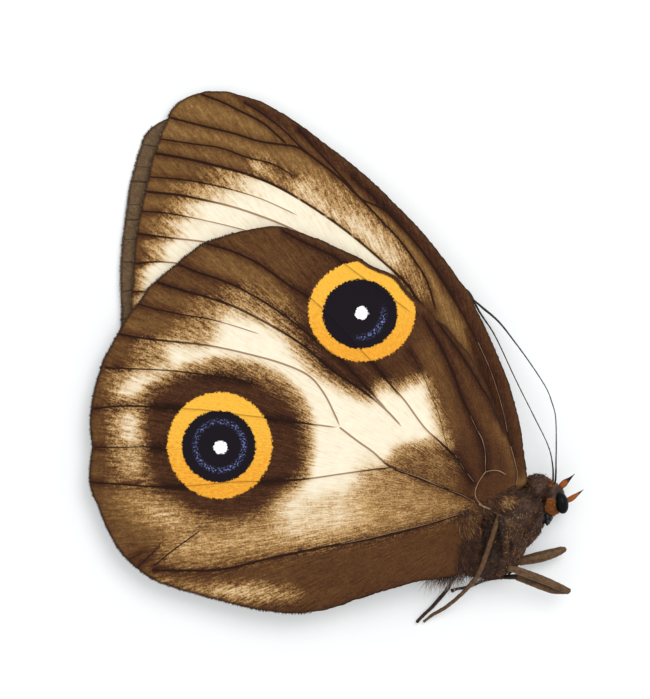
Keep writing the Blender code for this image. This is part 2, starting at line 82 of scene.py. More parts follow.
# %% Light and card
WORLD_STRENGTH = 0.76
LAMP_POWER = 1.15
LAMP_PLACE = Vector((0.16, 0.2, 0.42))
LAMP_SIZE = 0.3
CARD_HALF_SIZE = 1.5
CARD_GAP = 0.02 * MM
world = bpy.data.worlds.new("soft_room")
world.use_nodes = True
world.node_tree.nodes["Background"].inputs["Color"].default_value = (1.0, 1.0, 1.0, 1.0)
world.node_tree.nodes["Background"].inputs["Strength"].default_value = WORLD_STRENGTH
bpy.context.scene.world = world
bpy.context.scene.view_settings.view_transform = "Standard"

lamp_data = bpy.data.lights.new("soft_lamp", "AREA")
lamp_data.size = LAMP_SIZE
lamp_data.energy = LAMP_POWER
lamp = add_object("soft_lamp", lamp_data)
lamp.location = LAMP_PLACE
lamp.rotation_euler = (-LAMP_PLACE).to_track_quat("-Z", "Y").to_euler()

card_shape = bmesh.new()
bmesh.ops.create_grid(card_shape, x_segments=1, y_segments=1, size=CARD_HALF_SIZE)
card_mesh = bpy.data.meshes.new("card")
card_shape.to_mesh(card_mesh)
card_shape.free()
card = add_object("card", card_mesh)
card.location.z = -CARD_GAP
print("card and lamp made")

# %% [markdown]
# Every material is a small tree of shader nodes. One helper adds a node with its settings, and
# takes each input either as a number or as another node's output, so that a tree reads from top to
# bottom. Colours are given as they look on a screen, and turned into the linear values of light.

# %% Helpers for shader nodes
def linear(red, green, blue):
    """A screen colour, 0 to 255, as the linear colour that shaders take."""
    return tuple(((c / 255.0) / 12.92 if c < 11 else ((c / 255.0 + 0.055) / 1.055) ** 2.4)
                 for c in (red, green, blue)) + (1.0,)


def add_node(tree, kind, inputs=None, **settings):
    """A node with its settings. Each input is a number or another node's output."""
    made = tree.nodes.new(kind)
    for name, value in settings.items():
        setattr(made, name, value)
    for key, value in (inputs or {}).items():
        if isinstance(value, bpy.types.NodeSocket):
            tree.links.new(value, made.inputs[key])
        else:
            made.inputs[key].default_value = value
    return made


def calculate(tree, operation, first, second=0.0, third=0.0):
    made = add_node(tree, "ShaderNodeMath", {0: first, 1: second, 2: third}, operation=operation)
    return made.outputs[0]


def length_of(tree, x, y):
    """The length of the line from nought to (x, y)."""
    squares = [calculate(tree, "MULTIPLY", value, value) for value in (x, y)]
    return calculate(tree, "SQRT", calculate(tree, "ADD", *squares))


def remap(tree, value, low, high, to_low=0.0, to_high=1.0):
    """A smooth step of `value` from `low` to `high`."""
    made = add_node(tree, "ShaderNodeMapRange",
                    {"Value": value, "From Min": low, "From Max": high, "To Min": to_low, "To Max": to_high},
                    interpolation_type="SMOOTHSTEP")
    return made.outputs["Result"]


def mix_colours(tree, share, first, second):
    """The sockets 0, 6 and 7 are the share and the two colours; output 2 is the mixed colour."""
    made = add_node(tree, "ShaderNodeMix", {0: share, 6: first, 7: second}, data_type="RGBA")
    return made.outputs[2]


def ramp(tree, share, stops):
    made = add_node(tree, "ShaderNodeValToRGB", {"Fac": share})
    elements = made.color_ramp.elements
    while len(elements) < len(stops):
        elements.new(0.5)
    for element, (place, colour) in zip(elements, stops):
        element.position = place
        element.color = colour
    return made.outputs["Color"]


def new_group(name, inputs, outputs):
    """An empty node group: its tree, its input node and its output node.

    An input is given with its usual number, or with None where it takes a place.
    """
    tree = bpy.data.node_groups.new(name, "ShaderNodeTree")
    for label, value in inputs.items():
        kind = "NodeSocketVector" if value is None else "NodeSocketFloat"
        socket = tree.interface.new_socket(name=label, in_out="INPUT", socket_type=kind)
        if value is not None:
            socket.default_value = value
    for label in outputs:
        tree.interface.new_socket(name=label, in_out="OUTPUT", socket_type="NodeSocketFloat")
    return tree, tree.nodes.new("NodeGroupInput"), tree.nodes.new("NodeGroupOutput")


def place_group(tree, group, inputs):
    return add_node(tree, "ShaderNodeGroup", inputs, node_tree=group)


def new_material(name, roughness, **constants):
    """A material and its Principled shader, with the values that are the same all over."""
    material = bpy.data.materials.new(name)
    material.use_nodes = True
    shader = material.node_tree.nodes["Principled BSDF"]
    shader.inputs["Roughness"].default_value = roughness
    for label, value in constants.items():
        shader.inputs[label.replace("_", " ")].default_value = value
    return material, material.node_tree, shader


card_material, card_tree, card_shader = new_material("white_card", 0.9, Specular_IOR_Level=0.1,
                                                     Emission_Strength=0.26)
card_shader.inputs["Base Color"].default_value = linear(220, 222, 222)
card_shader.inputs["Emission Color"].default_value = linear(250, 252, 255)
card.data.materials.append(card_material)
print("node helpers ready")

# %% [markdown]
# The wings are drawn in plan, in tenths of a millimetre from the upper left corner of the picture,
# as an illustrator would trace a specimen from above. Smooth curves run through the drawn points.
# Distances to those curves are all that the outlines, the veins and the markings need.

# %% Drawing helpers
DRAWING_CENTRE = (335.0, 357.5)


def in_plan(points):
    """Drawn points, in tenths of a millimetre with y down, as millimetres with y up."""
    return (np.array(points, dtype=float) - DRAWING_CENTRE) * (0.1, -0.1)


def as_drawn(points):
    """Millimetres turned back into drawn places: their x and their y."""
    return (points * (10.0, -10.0) + DRAWING_CENTRE).T


def smooth_line(points, step, closed=False):
    """A Catmull-Rom curve through the points, read off about every `step` along it."""
    points = [np.array(point, dtype=float) for point in points]
    count = len(points)
    line = []
    for index in range(count if closed else count - 1):
        if closed:
            before, start, end, after = (points[(index + shift) % count] for shift in (-1, 0, 1, 2))
        else:
            start, end = points[index], points[index + 1]
            before = points[index - 1] if index > 0 else 2.0 * start - end
            after = points[index + 2] if index + 2 < count else 2.0 * end - start
        pieces = max(1, round(float(np.linalg.norm((end - start)[:2])) / step))
        for t in np.arange(pieces) / pieces:
            line.append(0.5 * (2.0 * start + (end - before) * t
                               + (2.0 * before - 5.0 * start + 4.0 * end - after) * t ** 2
                               + (3.0 * start - before - 3.0 * end + after) * t ** 3))
    if not closed:
        line.append(points[-1])
    return np.array(line)


def distance_to_line(points, line):
    nearest = np.full(len(points), 1e9)
    for start, end in zip(line[:-1], line[1:]):
        run = end[:2] - start[:2]
        share = np.clip(((points - start[:2]) @ run) / max(run @ run, 1e-12), 0.0, 1.0)
        nearest = np.minimum(nearest, np.linalg.norm(points - start[:2] - share[:, None] * run, axis=1))
    return nearest


def is_inside(points, outline):
    inside = np.zeros(len(points), dtype=bool)
    for start, end in zip(outline, np.roll(outline, -1, axis=0)):
        crosses = (start[1] > points[:, 1]) != (end[1] > points[:, 1])
        rise = end[1] - start[1] if end[1] != start[1] else 1e-9
        crossing_x = start[0] + (points[:, 1] - start[1]) * (end[0] - start[0]) / rise
        inside ^= crosses & (points[:, 0] < crossing_x)
    return inside


def bell(distance, reach):
    return np.exp(-0.5 * (distance / reach) ** 2)


def smooth_share(values):
    values = np.clip(values, 0.0, 1.0)
    return values * values * (3.0 - 2.0 * values)


def patch_share(points, outline, softness):
    """1 inside a drawn patch and 0 outside, changing over `softness` either side of its edge."""
    edge = smooth_line(in_plan(outline), 0.6, closed=True)
    distance = distance_to_line(points, np.vstack([edge, edge[:1]]))
    signed = np.where(is_inside(points, edge), distance, -distance)
    return smooth_share(0.5 + 0.5 * signed / softness)


def paint(points, layers, start, soften=1.0):
    """Soft patches laid over each other: (outline, value, softness), each over those before it."""
    values = np.full(len(points), start)
    for outline, value, softness in layers:
        share = patch_share(points, outline, soften * softness)
        values = values * (1.0 - share) + value * share
    return values


print("drawing helpers ready")

# %% [markdown]
# A forewing's front edge runs from the shoulder to a rounded tip, and the hindwing covers its lower
# part. Each vein is a line with a half width in millimetres and a strength. The veins are what
# stiffens the dry membrane, so they are raised as well as darker.

# %% Outlines and veins
FOREWING_OUTLINE = [
    (524.5, 484), (525, 466), (523, 448), (521, 430), (517, 412), (513, 396), (508, 380), (501, 363),
    (494, 346), (486, 328), (478, 312), (470, 294), (459, 279), (448, 263.5), (436, 248), (422, 231),
    (408, 216), (393, 201), (377, 185), (361, 171), (343, 156), (328, 145), (310, 131), (293, 119),
    (276, 108.5), (260, 100), (244, 95), (230, 91), (215, 89.5), (203, 90.5), (190, 94), (180, 99.5),
    (172, 107), (168, 114), (167, 118), (163, 126), (159, 137), (155, 148), (151.5, 158), (149, 168),
    (146.5, 180), (143.5, 193), (140.5, 207), (138, 220), (135.5, 235), (134, 250), (133, 264),
    (132.5, 280), (131, 292), (130.5, 302), (131, 320), (137, 334), (165, 355), (255, 395), (355, 437),
    (430, 471), (471, 489), (501, 493),
]
HINDWING_OUTLINE = [
    (280, 226), (270, 226), (255, 228), (245, 230), (233, 233), (220, 237), (208, 241), (200, 245),
    (192, 251), (184, 257), (176, 264), (168, 270.5), (160, 277), (152, 284), (147, 289), (143, 296),
    (137, 304), (130.5, 312), (124.5, 321.5), (119, 330.5), (115.5, 336.5), (111, 345), (106, 354),
    (102, 362), (99, 372), (96, 381), (93.5, 392), (91.5, 402), (90, 414), (89.7, 426), (90.8, 438),
    (91.8, 448), (90, 460), (89, 472), (89.3, 483), (92, 494), (97, 504), (101, 515), (105.5, 526),
    (110, 535), (116, 546), (123, 555.5), (131, 563.5), (139, 570), (147.5, 576.5), (158, 582),
    (169, 586), (181, 590), (193, 593), (204, 596.5), (218.5, 600), (232, 603.5), (245.5, 607),
    (260, 610), (274, 611.5), (288, 613), (300, 613), (312, 611.5), (325, 610), (336, 606.5),
    (345, 604), (353, 600), (362, 598), (371.5, 594.5), (381.5, 591), (392, 588), (402.5, 585),
    (412.5, 582), (422.5, 580), (433.5, 579), (443.5, 577), (455, 575), (467, 570), (476, 545),
    (484, 512), (503, 500), (514, 492), (516, 476), (515.5, 468), (513, 458), (510, 446), (506, 434),
    (502, 425), (497, 414), (492, 403), (489, 392), (484, 380), (478, 369), (470, 355), (462, 345),
    (455, 337), (446, 326), (437, 320), (429, 310), (419.5, 302), (411.5, 295.5), (404.5, 287),
    (398.5, 279), (392, 274), (384.5, 271), (375, 267), (366, 262), (357.5, 256.5), (345.5, 251),
    (333, 245.5), (322, 240), (310.5, 236), (300, 232), (292, 229.5),
]
FOREWING_VEINS = [
    ([(200.7, 92.8), (222, 101), (240, 110), (262, 121.5), (281, 138), (287, 143.5)], 0.09, 0.9),
    ([(170, 116.5), (201, 124.5), (232, 132), (260, 140.5), (284, 144), (299, 147.3), (320, 162),
      (339, 177), (361, 198.5), (386, 225), (400, 240), (414.5, 260), (427, 280.5), (436, 310)], 0.09, 0.85),
    ([(245, 102), (260, 111), (281, 127), (301.5, 147), (310, 153)], 0.08, 0.8),
    ([(300, 130), (315, 147), (332.5, 166), (347, 182), (362, 198.5), (386, 210.5), (406.5, 232),
      (420, 248), (433.5, 267), (450, 293)], 0.08, 0.8),
    ([(352, 176), (380, 203), (405, 229), (425, 253), (442, 277), (458, 303)], 0.07, 0.5),
    ([(161, 138), (190, 142.5), (220, 147), (246.5, 156.5), (273, 163.5), (296, 177)], 0.08, 0.65),
    ([(156, 152.5), (187, 158), (220, 166), (246.5, 173.5), (273, 184), (299, 198.5), (326, 216),
      (353, 236), (380, 259), (406.5, 283), (417, 299), (432, 315)], 0.11, 1.0),
    ([(149.5, 176), (179, 178.5), (206, 183), (233, 189.5), (260, 198), (285, 209), (299, 216)], 0.07, 0.75),
    ([(147, 191), (179, 194.5), (206, 200), (233, 206.5), (260, 215.5), (284, 225), (310, 238)], 0.1, 1.0),
    ([(141, 210.5), (166, 212.5), (193, 217.5), (220, 223.5), (250, 231)], 0.07, 0.75),
    ([(137, 233), (166, 237), (193, 240), (215, 243)], 0.09, 0.95),
    ([(135, 263.5), (152, 261.5), (178, 263), (200, 268)], 0.08, 0.9),
    ([(131, 291.5), (143, 291), (170, 293)], 0.08, 0.9),
    ([(450, 293), (460, 309), (472, 331), (484, 356), (495, 381), (502, 408), (507, 432), (511, 455)],
     0.12, 0.45),
]
HINDWING_VEINS = [
    ([(283.5, 231), (300, 240), (333, 256), (356, 272.5), (378, 288.5), (399, 303.5),
      (413, 314)], 0.09, 0.9),
    ([(207, 243.5), (233, 251.5), (260, 264.5), (290, 286), (312, 299.5), (337, 323.5), (359, 348),
      (376, 366), (392.5, 387), (405, 401), (424, 427), (440, 442), (459, 461), (471, 481.5)], 0.09, 0.9),
    ([(178, 264), (197, 272), (220, 279.5), (247, 292), (281, 313), (312, 337), (345.5, 364.5),
      (372, 393.5), (388, 411)], 0.09, 0.9),
    ([(159.5, 283), (180, 289.5), (206.5, 297), (235, 307), (271, 325.5), (301, 344), (337, 373.5),
      (359, 388), (384.5, 408.5), (402, 427)], 0.1, 1.0),
    ([(138, 304), (158, 309.5), (185, 315), (209, 319), (236, 326.5), (262, 335)], 0.07, 0.7),
    ([(119, 334), (138, 337.5), (167.5, 341), (208, 345.5), (248, 354), (283.5, 364), (309, 376),
      (324, 393.5), (334.5, 414), (340, 427)], 0.09, 1.0),
    ([(106, 368), (138, 369), (174, 371), (208, 375.5), (232, 379), (252, 382)], 0.07, 0.75),
    ([(92, 409), (116, 406.5), (150, 406.5), (180, 408.5), (208, 410.5), (241.5, 415), (270, 418.3),
      (298, 422.5), (338, 427.5)], 0.08, 0.95),
    ([(93.5, 447.5), (120, 447.5), (147, 447), (182, 447.5)], 0.06, 0.6),
    ([(91, 482.5), (127, 485), (161, 487), (201, 485), (235, 482), (270, 481), (305, 479),
      (340.5, 474), (369, 470), (391, 467.5)], 0.08, 0.95),
    ([(340.5, 428), (357.5, 441), (373, 452), (388.5, 465.5), (407, 473.5), (432, 483), (460.5, 494.5),
      (478, 503)], 0.1, 0.9),
    ([(155, 570.5), (181, 570.5), (208, 570.5), (235, 567), (262, 560), (290, 554), (326.5, 546.5),
      (369, 539), (411, 529), (453, 515.5), (463, 512)], 0.11, 0.75),
    ([(155, 565), (171.5, 551.5), (188, 539.5), (201, 530)], 0.06, 0.8),
    ([(139, 566), (152.5, 553), (163, 541)], 0.05, 0.6),
    ([(130, 559.5), (144.5, 551.5)], 0.05, 0.6),
    ([(484.6, 471.3), (484.6, 453), (477, 430), (463, 400), (453, 373), (440, 345), (424, 318)], 0.1, 0.8),
    ([(437, 321), (452, 342), (466, 362), (480, 385), (492, 405), (503, 432)], 0.07, 0.9),
    ([(410, 350), (425, 380), (439, 416), (446, 443), (455, 462)], 0.06, 0.35),
]

# Where the drawn far wings lie under the near ones: their turn about the root, scale and shift.
WING_PIVOT = np.array((17.0, -14.0))
FAR_FOREWING_PLACE = (math.radians(5.2), 0.992, (0.3, 0.8))
FAR_HINDWING_PLACE = (0.0, 0.985, (-0.05, 0.4))


def place_in_plan(points, side, is_hindwing):
    if side > 0:
        return points
    turn, scale, shift = FAR_HINDWING_PLACE if is_hindwing else FAR_FOREWING_PLACE
    cos_turn, sin_turn = math.cos(turn) * scale, math.sin(turn) * scale
    rotation = np.array([[cos_turn, sin_turn], [-sin_turn, cos_turn]])
    return (points - WING_PIVOT) @ rotation + WING_PIVOT + shift


print("veins drawn:", len(FOREWING_VEINS), len(HINDWING_VEINS))

# %% [markdown]
# The wings close in a stack: hindwing, forewing, forewing, hindwing. A flat plane slopes down from
# the thorax to where the lower wings touch the card, with a slight bow, and each wing keeps its own
# distance from that plane. Near the thorax and over the abdomen the two sides part.

# %% Height of the wings
THORAX_CENTRE = np.array((17.2, -16.5, 2.55))
WING_THICKNESS = 0.24
VEIN_HEIGHT = 0.1
FOREWING_OFFSET = 0.27
HINDWING_OFFSET = 0.91
WING_ROOT = np.array((16.6, -14.2))
ABDOMEN_PATH = [
    (13.1, -19.2, 2.6, 0.75), (12.6, -19.45, 2.6, 1.1), (11.0, -20.2, 2.58, 1.15),
    (9.2, -21.0, 2.55, 1.05), (7.4, -21.7, 2.5, 0.9), (5.8, -22.2, 2.45, 0.7), (4.6, -22.6, 2.4, 0.35),
]
ABDOMEN_LINE = smooth_line([point[:2] for point in ABDOMEN_PATH], 1.0)
rest_heights = [THORAX_CENTRE[2], FOREWING_OFFSET + 0.5 * WING_THICKNESS + VEIN_HEIGHT,
                HINDWING_OFFSET + 0.5 * WING_THICKNESS + VEIN_HEIGHT]
rest_places = [(1.0, 17.2, -16.5), (1.0, -15.2, 23.4), (1.0, -24.0, -8.0)]
MIDDLE_PLANE = np.linalg.solve(np.array(rest_places), np.array(rest_heights))


def wing_height(points, side, offset, is_hindwing):
    """Height of the middle of a wing's thickness. `side` is 1 on the near side, -1 on the far."""
    bow = 0.45 * bell(np.linalg.norm(points - (-3.0, 2.0), axis=1), 13.0)
    from_root = np.linalg.norm(points - WING_ROOT, axis=1)
    rise = (2.3 if side > 0 else 1.9) * bell(from_root, 4.6)
    if is_hindwing:
        rise = np.maximum(rise, 0.75 * bell(distance_to_line(points, ABDOMEN_LINE), 1.5))
    height = MIDDLE_PLANE[0] + points @ MIDDLE_PLANE[1:] + bow + side * (offset + rise)
    lowest = 0.5 * WING_THICKNESS + VEIN_HEIGHT
    if not is_hindwing:
        lowest += (HINDWING_OFFSET - FOREWING_OFFSET) * bell(from_root, 4.6)
    return np.maximum(height, lowest) if side < 0 else height


print("middle plane:", MIDDLE_PLANE.round(4).tolist())

# %% [markdown]
# The colour of a wing comes from tiny scales laid like tiles: brown ones, cream ones and a few
# golden ones. Where brown turns to cream the two kinds are mixed, which looks speckled. So the
# drawing gives each place only a share of cream scales and a tone for its brown ones.

# %% Forewing markings
# Each row is the vein above a cell, where the cell turns pale, and how long the change takes.
FOREWING_CELLS = [
    (6, 236, 24), (7, 209, 26), (8, 186, 16), (9, 173, 17), (10, 160, 13), (11, 142, 7), (12, 136, 6),
]


def cell_starts(points):
    """The share of cream across the forewing's cells, each of which turns pale at its own place."""
    x, y = as_drawn(points)
    share = np.zeros(len(points))
    for vein, start, change in FOREWING_CELLS:
        line = np.array(FOREWING_VEINS[vein][0], dtype=float)
        slope = (line[-1] - line[-2]) / np.linalg.norm(line[-1] - line[-2])
        line = np.vstack([line, line[-1] + 140.0 * slope])
        below = y > np.interp(x, line[:, 0], line[:, 1])
        near_vein = bell(distance_to_line(points, in_plan(line)), 0.35)
        share = np.where(below, smooth_share((x - start - 12.0 * near_vein) / (4.2 * change) + 0.6), share)
    return share


FOREWING_PALE = [
    ([(250, 158), (262, 158), (275, 165), (292, 172), (305, 169), (318, 171), (330, 177), (345, 190),
      (357, 201), (372, 212), (387, 226), (400, 245), (414, 264), (425, 284), (431, 300), (424, 306),
      (417, 298), (406, 283), (380, 259), (353, 236), (326, 216), (299, 198.5), (273, 184),
      (250, 175)], 0.42, 0.6),
    ([(254, 162), (263, 162), (266, 168), (258, 171), (253, 168)], 0.62, 0.3),
    ([(255, 152), (272, 155), (276, 160), (262, 158)], 0.45, 0.3),
    ([(298, 186), (318, 192), (336, 204), (350, 212), (366, 222), (382, 236), (396, 252), (402, 266),
      (394, 268), (378, 256), (350, 232), (322, 211), (300, 197)], 0.82, 0.9),
    ([(276, 164), (292, 165), (300, 172), (286, 176)], 0.22, 0.6),
    ([(318, 184), (336, 186), (350, 200), (342, 207), (324, 196)], 0.36, 0.7),
    ([(400, 268), (418, 276), (432, 300), (436, 320), (424, 306), (408, 288), (396, 276)], 0.3, 0.7),
    ([(436, 300), (450, 300), (520, 430), (500, 440), (440, 330), (420, 304)], 0.0, 0.5),
]
FOREWING_TONE = [
    ([(172, 105), (200, 94), (240, 104), (280, 124), (300, 146), (260, 138), (200, 124), (168, 122)],
     0.56, 0.8),
    ([(168, 122), (230, 133), (270, 145), (300, 150), (330, 175), (300, 172), (255, 158), (160, 138)],
     0.58, 0.6),
    ([(160, 140), (250, 160), (300, 182), (300, 196), (250, 176), (156, 152)], 0.5, 0.6),
    ([(152, 156), (210, 168), (240, 176), (230, 186), (150, 174)], 0.46, 0.5),
    ([(146, 180), (205, 185), (240, 196), (200, 198), (146, 190)], 0.54, 0.4),
    ([(143, 196), (182, 198), (190, 212), (141, 208)], 0.5, 0.4),
    ([(139, 212), (170, 214), (165, 232), (137, 230)], 0.47, 0.4),
    ([(137, 236), (152, 238), (146, 258), (135, 258)], 0.36, 0.3),
    ([(262, 121), (300, 147), (340, 177), (386, 225), (427, 281), (440, 311), (470, 350), (500, 420),
      (512, 440), (500, 390), (470, 328), (444, 280), (406, 232), (362, 190), (310, 140)], 0.47, 0.4),
    ([(350, 188), (386, 224), (400, 240), (427, 280), (436, 300), (444, 300), (430, 272), (404, 236),
      (372, 203)], 0.66, 0.25),
    ([(230, 92), (276, 109), (310, 131), (361, 171), (408, 216), (448, 263), (478, 312), (501, 363),
      (517, 412), (525, 470), (509, 470), (507, 430), (495, 381), (472, 331), (450, 292), (420, 246),
      (374, 202), (330, 160), (290, 130), (245, 101)], 0.2, 0.35),
    ([(432, 300), (446, 300), (462, 325), (476, 352), (484, 380), (470, 352), (446, 322)], 0.6, 0.5),
    # Painted shade: a dark band beside the raised vein near the root, where its shadow falls on the
    # membrane.
    ([(466, 330), (478, 350), (490, 376), (498, 404), (503, 430), (492, 404), (478, 372)], 0.1, 0.3),
]


def forewing_values(points):
    pale = cell_starts(points)
    above = paint(points, FOREWING_PALE, 0.0, 2.0)
    line = np.array(FOREWING_VEINS[6][0] + [(446, 340), (470, 390), (490, 440), (500, 520)], dtype=float)
    x, y = as_drawn(points)
    is_above = y < np.interp(x, line[:, 0], line[:, 1])
    pale = np.where(is_above, above, pale)
    fade = patch_share(points, [(396, 272), (408, 280), (440, 318), (460, 350), (560, 450), (430, 480),
                                (400, 330), (390, 290)], 0.9)
    pale = np.where(is_above, pale, pale * (1.0 - 0.8 * fade))
    return pale, paint(points, FOREWING_TONE, 0.45, 1.5)


print("forewing patches:", len(FOREWING_PALE), len(FOREWING_TONE))

# %% [markdown]
# The hindwing has a wide cream field from its outer edge to the middle, a dark halo round the lower
# eyespot, a dark wedge under the upper one, and golden brown speckles towards the abdomen.

# %% Hindwing markings
HINDWING_PALE = [
    ([(136, 350), (146, 341), (165, 341), (176, 322), (190, 310), (196, 299), (215, 297), (228, 296),
      (240, 293), (255, 300), (272, 312), (288, 322), (304, 343), (316, 362), (300, 380), (250, 365),
      (150, 370)], 0.4, 0.9),
    ([(226, 292), (244, 290), (262, 298), (280, 308), (292, 318), (282, 318), (262, 310), (240, 300)],
     0.48, 0.7),
    ([(240, 276), (262, 280), (285, 292), (300, 312), (282, 306), (262, 296)], 0.24, 0.9),
    ([(162, 344), (186, 345), (206, 345), (214, 336), (218, 322), (230, 312), (246, 317), (262, 322),
      (276, 330), (289, 343), (299, 358), (314, 371), (330, 380), (350, 391), (368, 398), (377, 388),
      (388, 385), (397, 389), (408, 383), (424, 379), (430, 390), (436, 408), (442, 428), (447, 443),
      (436, 444), (420, 449), (405, 451), (396, 459), (388, 472), (374, 490), (356, 503), (328, 510),
      (296, 508), (282, 500), (298, 482), (306, 470), (308, 440), (305, 415), (298, 398), (288, 385),
      (268, 371), (240, 362), (215, 360), (195, 366), (175, 370), (160, 366)], 1.0, 0.7),
    ([(138, 346), (162, 344), (166, 356), (158, 368), (140, 366)], 0.46, 0.7),
    ([(106, 371), (130, 371), (132, 397), (108, 400)], 0.36, 0.6),
    ([(134, 371), (166, 371), (170, 377), (152, 387), (140, 398), (124, 399), (116, 393), (126, 380)],
     0.84, 0.5),
    ([(110, 412), (142, 411), (144, 446), (112, 446)], 0.5, 0.7),
    ([(122, 418), (139, 414), (142, 446), (127, 446)], 0.82, 0.5),
    ([(112, 450), (142, 450), (144, 478), (112, 479)], 0.38, 0.7),
    ([(126, 450), (140, 450), (141, 472), (129, 474)], 0.62, 0.5),
    ([(112, 490), (152, 489), (180, 503), (196, 520), (190, 536), (160, 532), (128, 520)], 0.3, 1.0),
    ([(144, 502), (170, 506), (188, 518), (182, 528), (154, 523)], 0.56, 0.7),
    ([(176, 536), (215, 524), (255, 517), (300, 508), (360, 494), (400, 488), (404, 516), (372, 533),
      (330, 541), (290, 549), (250, 557), (215, 563), (185, 563), (162, 556)], 0.5, 1.2),
    ([(284, 500), (330, 500), (372, 492), (390, 500), (360, 522), (320, 535), (284, 534)], 0.74, 1.0),
    ([(270, 492), (298, 488), (304, 506), (290, 514), (272, 508)], 0.86, 0.8),
    ([(364, 472), (392, 469), (420, 480), (452, 496), (472, 508), (440, 520), (400, 524), (366, 512)],
     0.4, 1.1),
    ([(398, 452), (420, 448), (442, 445), (456, 464), (452, 480), (424, 477), (402, 466)], 0.28, 0.9),
    ([(150, 576), (170, 580), (190, 583), (218, 584), (255, 583), (296, 588), (302, 598), (285, 603),
      (250, 602), (215, 597), (180, 589), (156, 582)], 0.4, 0.5),
    ([(212, 587), (240, 586), (266, 587), (268, 595), (240, 598), (216, 594)], 0.6, 0.5),
    ([(141, 404), (150, 392), (164, 382), (178, 374), (200, 366), (224, 364), (250, 368), (274, 380),
      (294, 396), (305, 412), (308, 440), (305, 470), (294, 488), (278, 503), (258, 516), (226, 524),
      (196, 520), (172, 508), (152, 494), (142, 480), (141, 440)], 0.36, 0.7),
    ([(147, 406), (156, 396), (170, 386), (186, 378), (222, 374), (246, 379), (266, 388), (284, 400),
      (295, 414), (300, 432), (301, 452), (296, 472), (284, 487), (270, 500), (253, 512), (225, 518),
      (200, 512), (180, 503), (162, 492), (152, 480), (148, 450), (147, 420)], 0.0, 0.55),
]
HINDWING_TONE = [
    ([(208, 241), (240, 231), (280, 227), (330, 246), (360, 262), (320, 268), (280, 252), (240, 246)],
     0.3, 0.7),
    ([(205, 250), (240, 258), (280, 284), (300, 310), (260, 290), (210, 270)], 0.5, 0.8),
    ([(160, 288), (210, 300), (260, 322), (230, 322), (180, 312), (150, 302)], 0.44, 0.7),
    ([(130, 318), (150, 312), (200, 318), (190, 340), (122, 332)], 0.44, 0.7),
    ([(112, 344), (140, 340), (140, 366), (104, 366)], 0.36, 0.6),
    ([(294, 296), (310, 262), (350, 250), (400, 266), (424, 300), (424, 350), (400, 380), (360, 392),
      (320, 374), (300, 344)], 0.22, 0.9),
    ([(424, 305), (446, 330), (470, 372), (492, 420), (508, 470), (470, 488), (452, 455), (440, 408),
      (420, 360)], 0.26, 0.7),
    ([(416, 350), (432, 340), (448, 380), (462, 430), (474, 466), (458, 462), (444, 420), (430, 380)],
     0.38, 0.6),
    ([(496, 424), (508, 446), (514, 470), (500, 470), (496, 446)], 0.62, 0.5),
    ([(147, 398), (172, 380), (222, 370), (272, 386), (300, 415), (306, 450), (298, 480), (262, 514),
      (220, 522), (176, 508), (150, 484), (146, 440)], 0.16, 0.8),
    ([(92, 410), (112, 404), (112, 482), (92, 486)], 0.34, 0.6),
    ([(96, 500), (130, 490), (150, 520), (150, 560), (116, 546)], 0.38, 0.9),
    ([(400, 478), (450, 492), (470, 508), (440, 520), (392, 526)], 0.42, 1.0),
    ([(166, 566), (230, 564), (300, 553), (370, 540), (440, 524), (420, 552), (380, 577), (300, 584),
      (230, 580), (160, 576)], 0.32, 0.5),
    ([(290, 560), (380, 545), (430, 532), (400, 556), (340, 580), (290, 584)], 0.36, 0.6),
    ([(459, 519), (440, 535), (409, 558), (383, 576), (330, 600), (390, 590), (470, 572), (480, 520)],
     0.2, 0.6),
    ([(260, 603), (330, 600), (380, 584), (400, 588), (330, 611), (260, 611)], 0.18, 0.4),
    ([(450, 500), (480, 496), (486, 520), (470, 540), (450, 530)], 0.3, 0.6),
    ([(286, 492), (330, 496), (380, 486), (402, 492), (398, 516), (350, 532), (300, 540), (280, 520)],
     0.74, 0.9),
    ([(160, 536), (215, 526), (280, 520), (290, 548), (230, 560), (170, 560)], 0.62, 0.9),
    ([(372, 474), (400, 470), (440, 484), (462, 502), (430, 516), (380, 510)], 0.5, 0.8),
    ([(404, 450), (440, 446), (454, 466), (444, 480), (410, 474)], 0.3, 0.7),
    ([(110, 490), (150, 490), (190, 520), (180, 536), (130, 526)], 0.56, 0.9),
    ([(452, 440), (500, 440), (512, 480), (480, 500), (456, 480)], 0.2, 0.7),
    ([(300, 560), (440, 530), (470, 520), (470, 560), (380, 585), (310, 600)], 0.27, 0.9),
]


def hindwing_values(points):
    return paint(points, HINDWING_PALE, 0.02, 2.1), paint(points, HINDWING_TONE, 0.34, 1.8)


print("hindwing patches:", len(HINDWING_PALE), len(HINDWING_TONE))

# %% [markdown]
# Each wing is a thin closed sheet. Its plan is divided into small triangles, with the veins' centre
# lines and feet kept as edges, so that the ridges are crisp. Between the veins a real membrane sags
# a little, and that gives the soft pleats that catch the light.

# %% Wing meshes
FINE_STEP = 0.26
SHEET_THICKNESS = 0.14
PLEAT_DEPTH = 0.1
RIDGE_HEIGHT = 0.07
VEIN_WIDTH_GAIN = 1.6


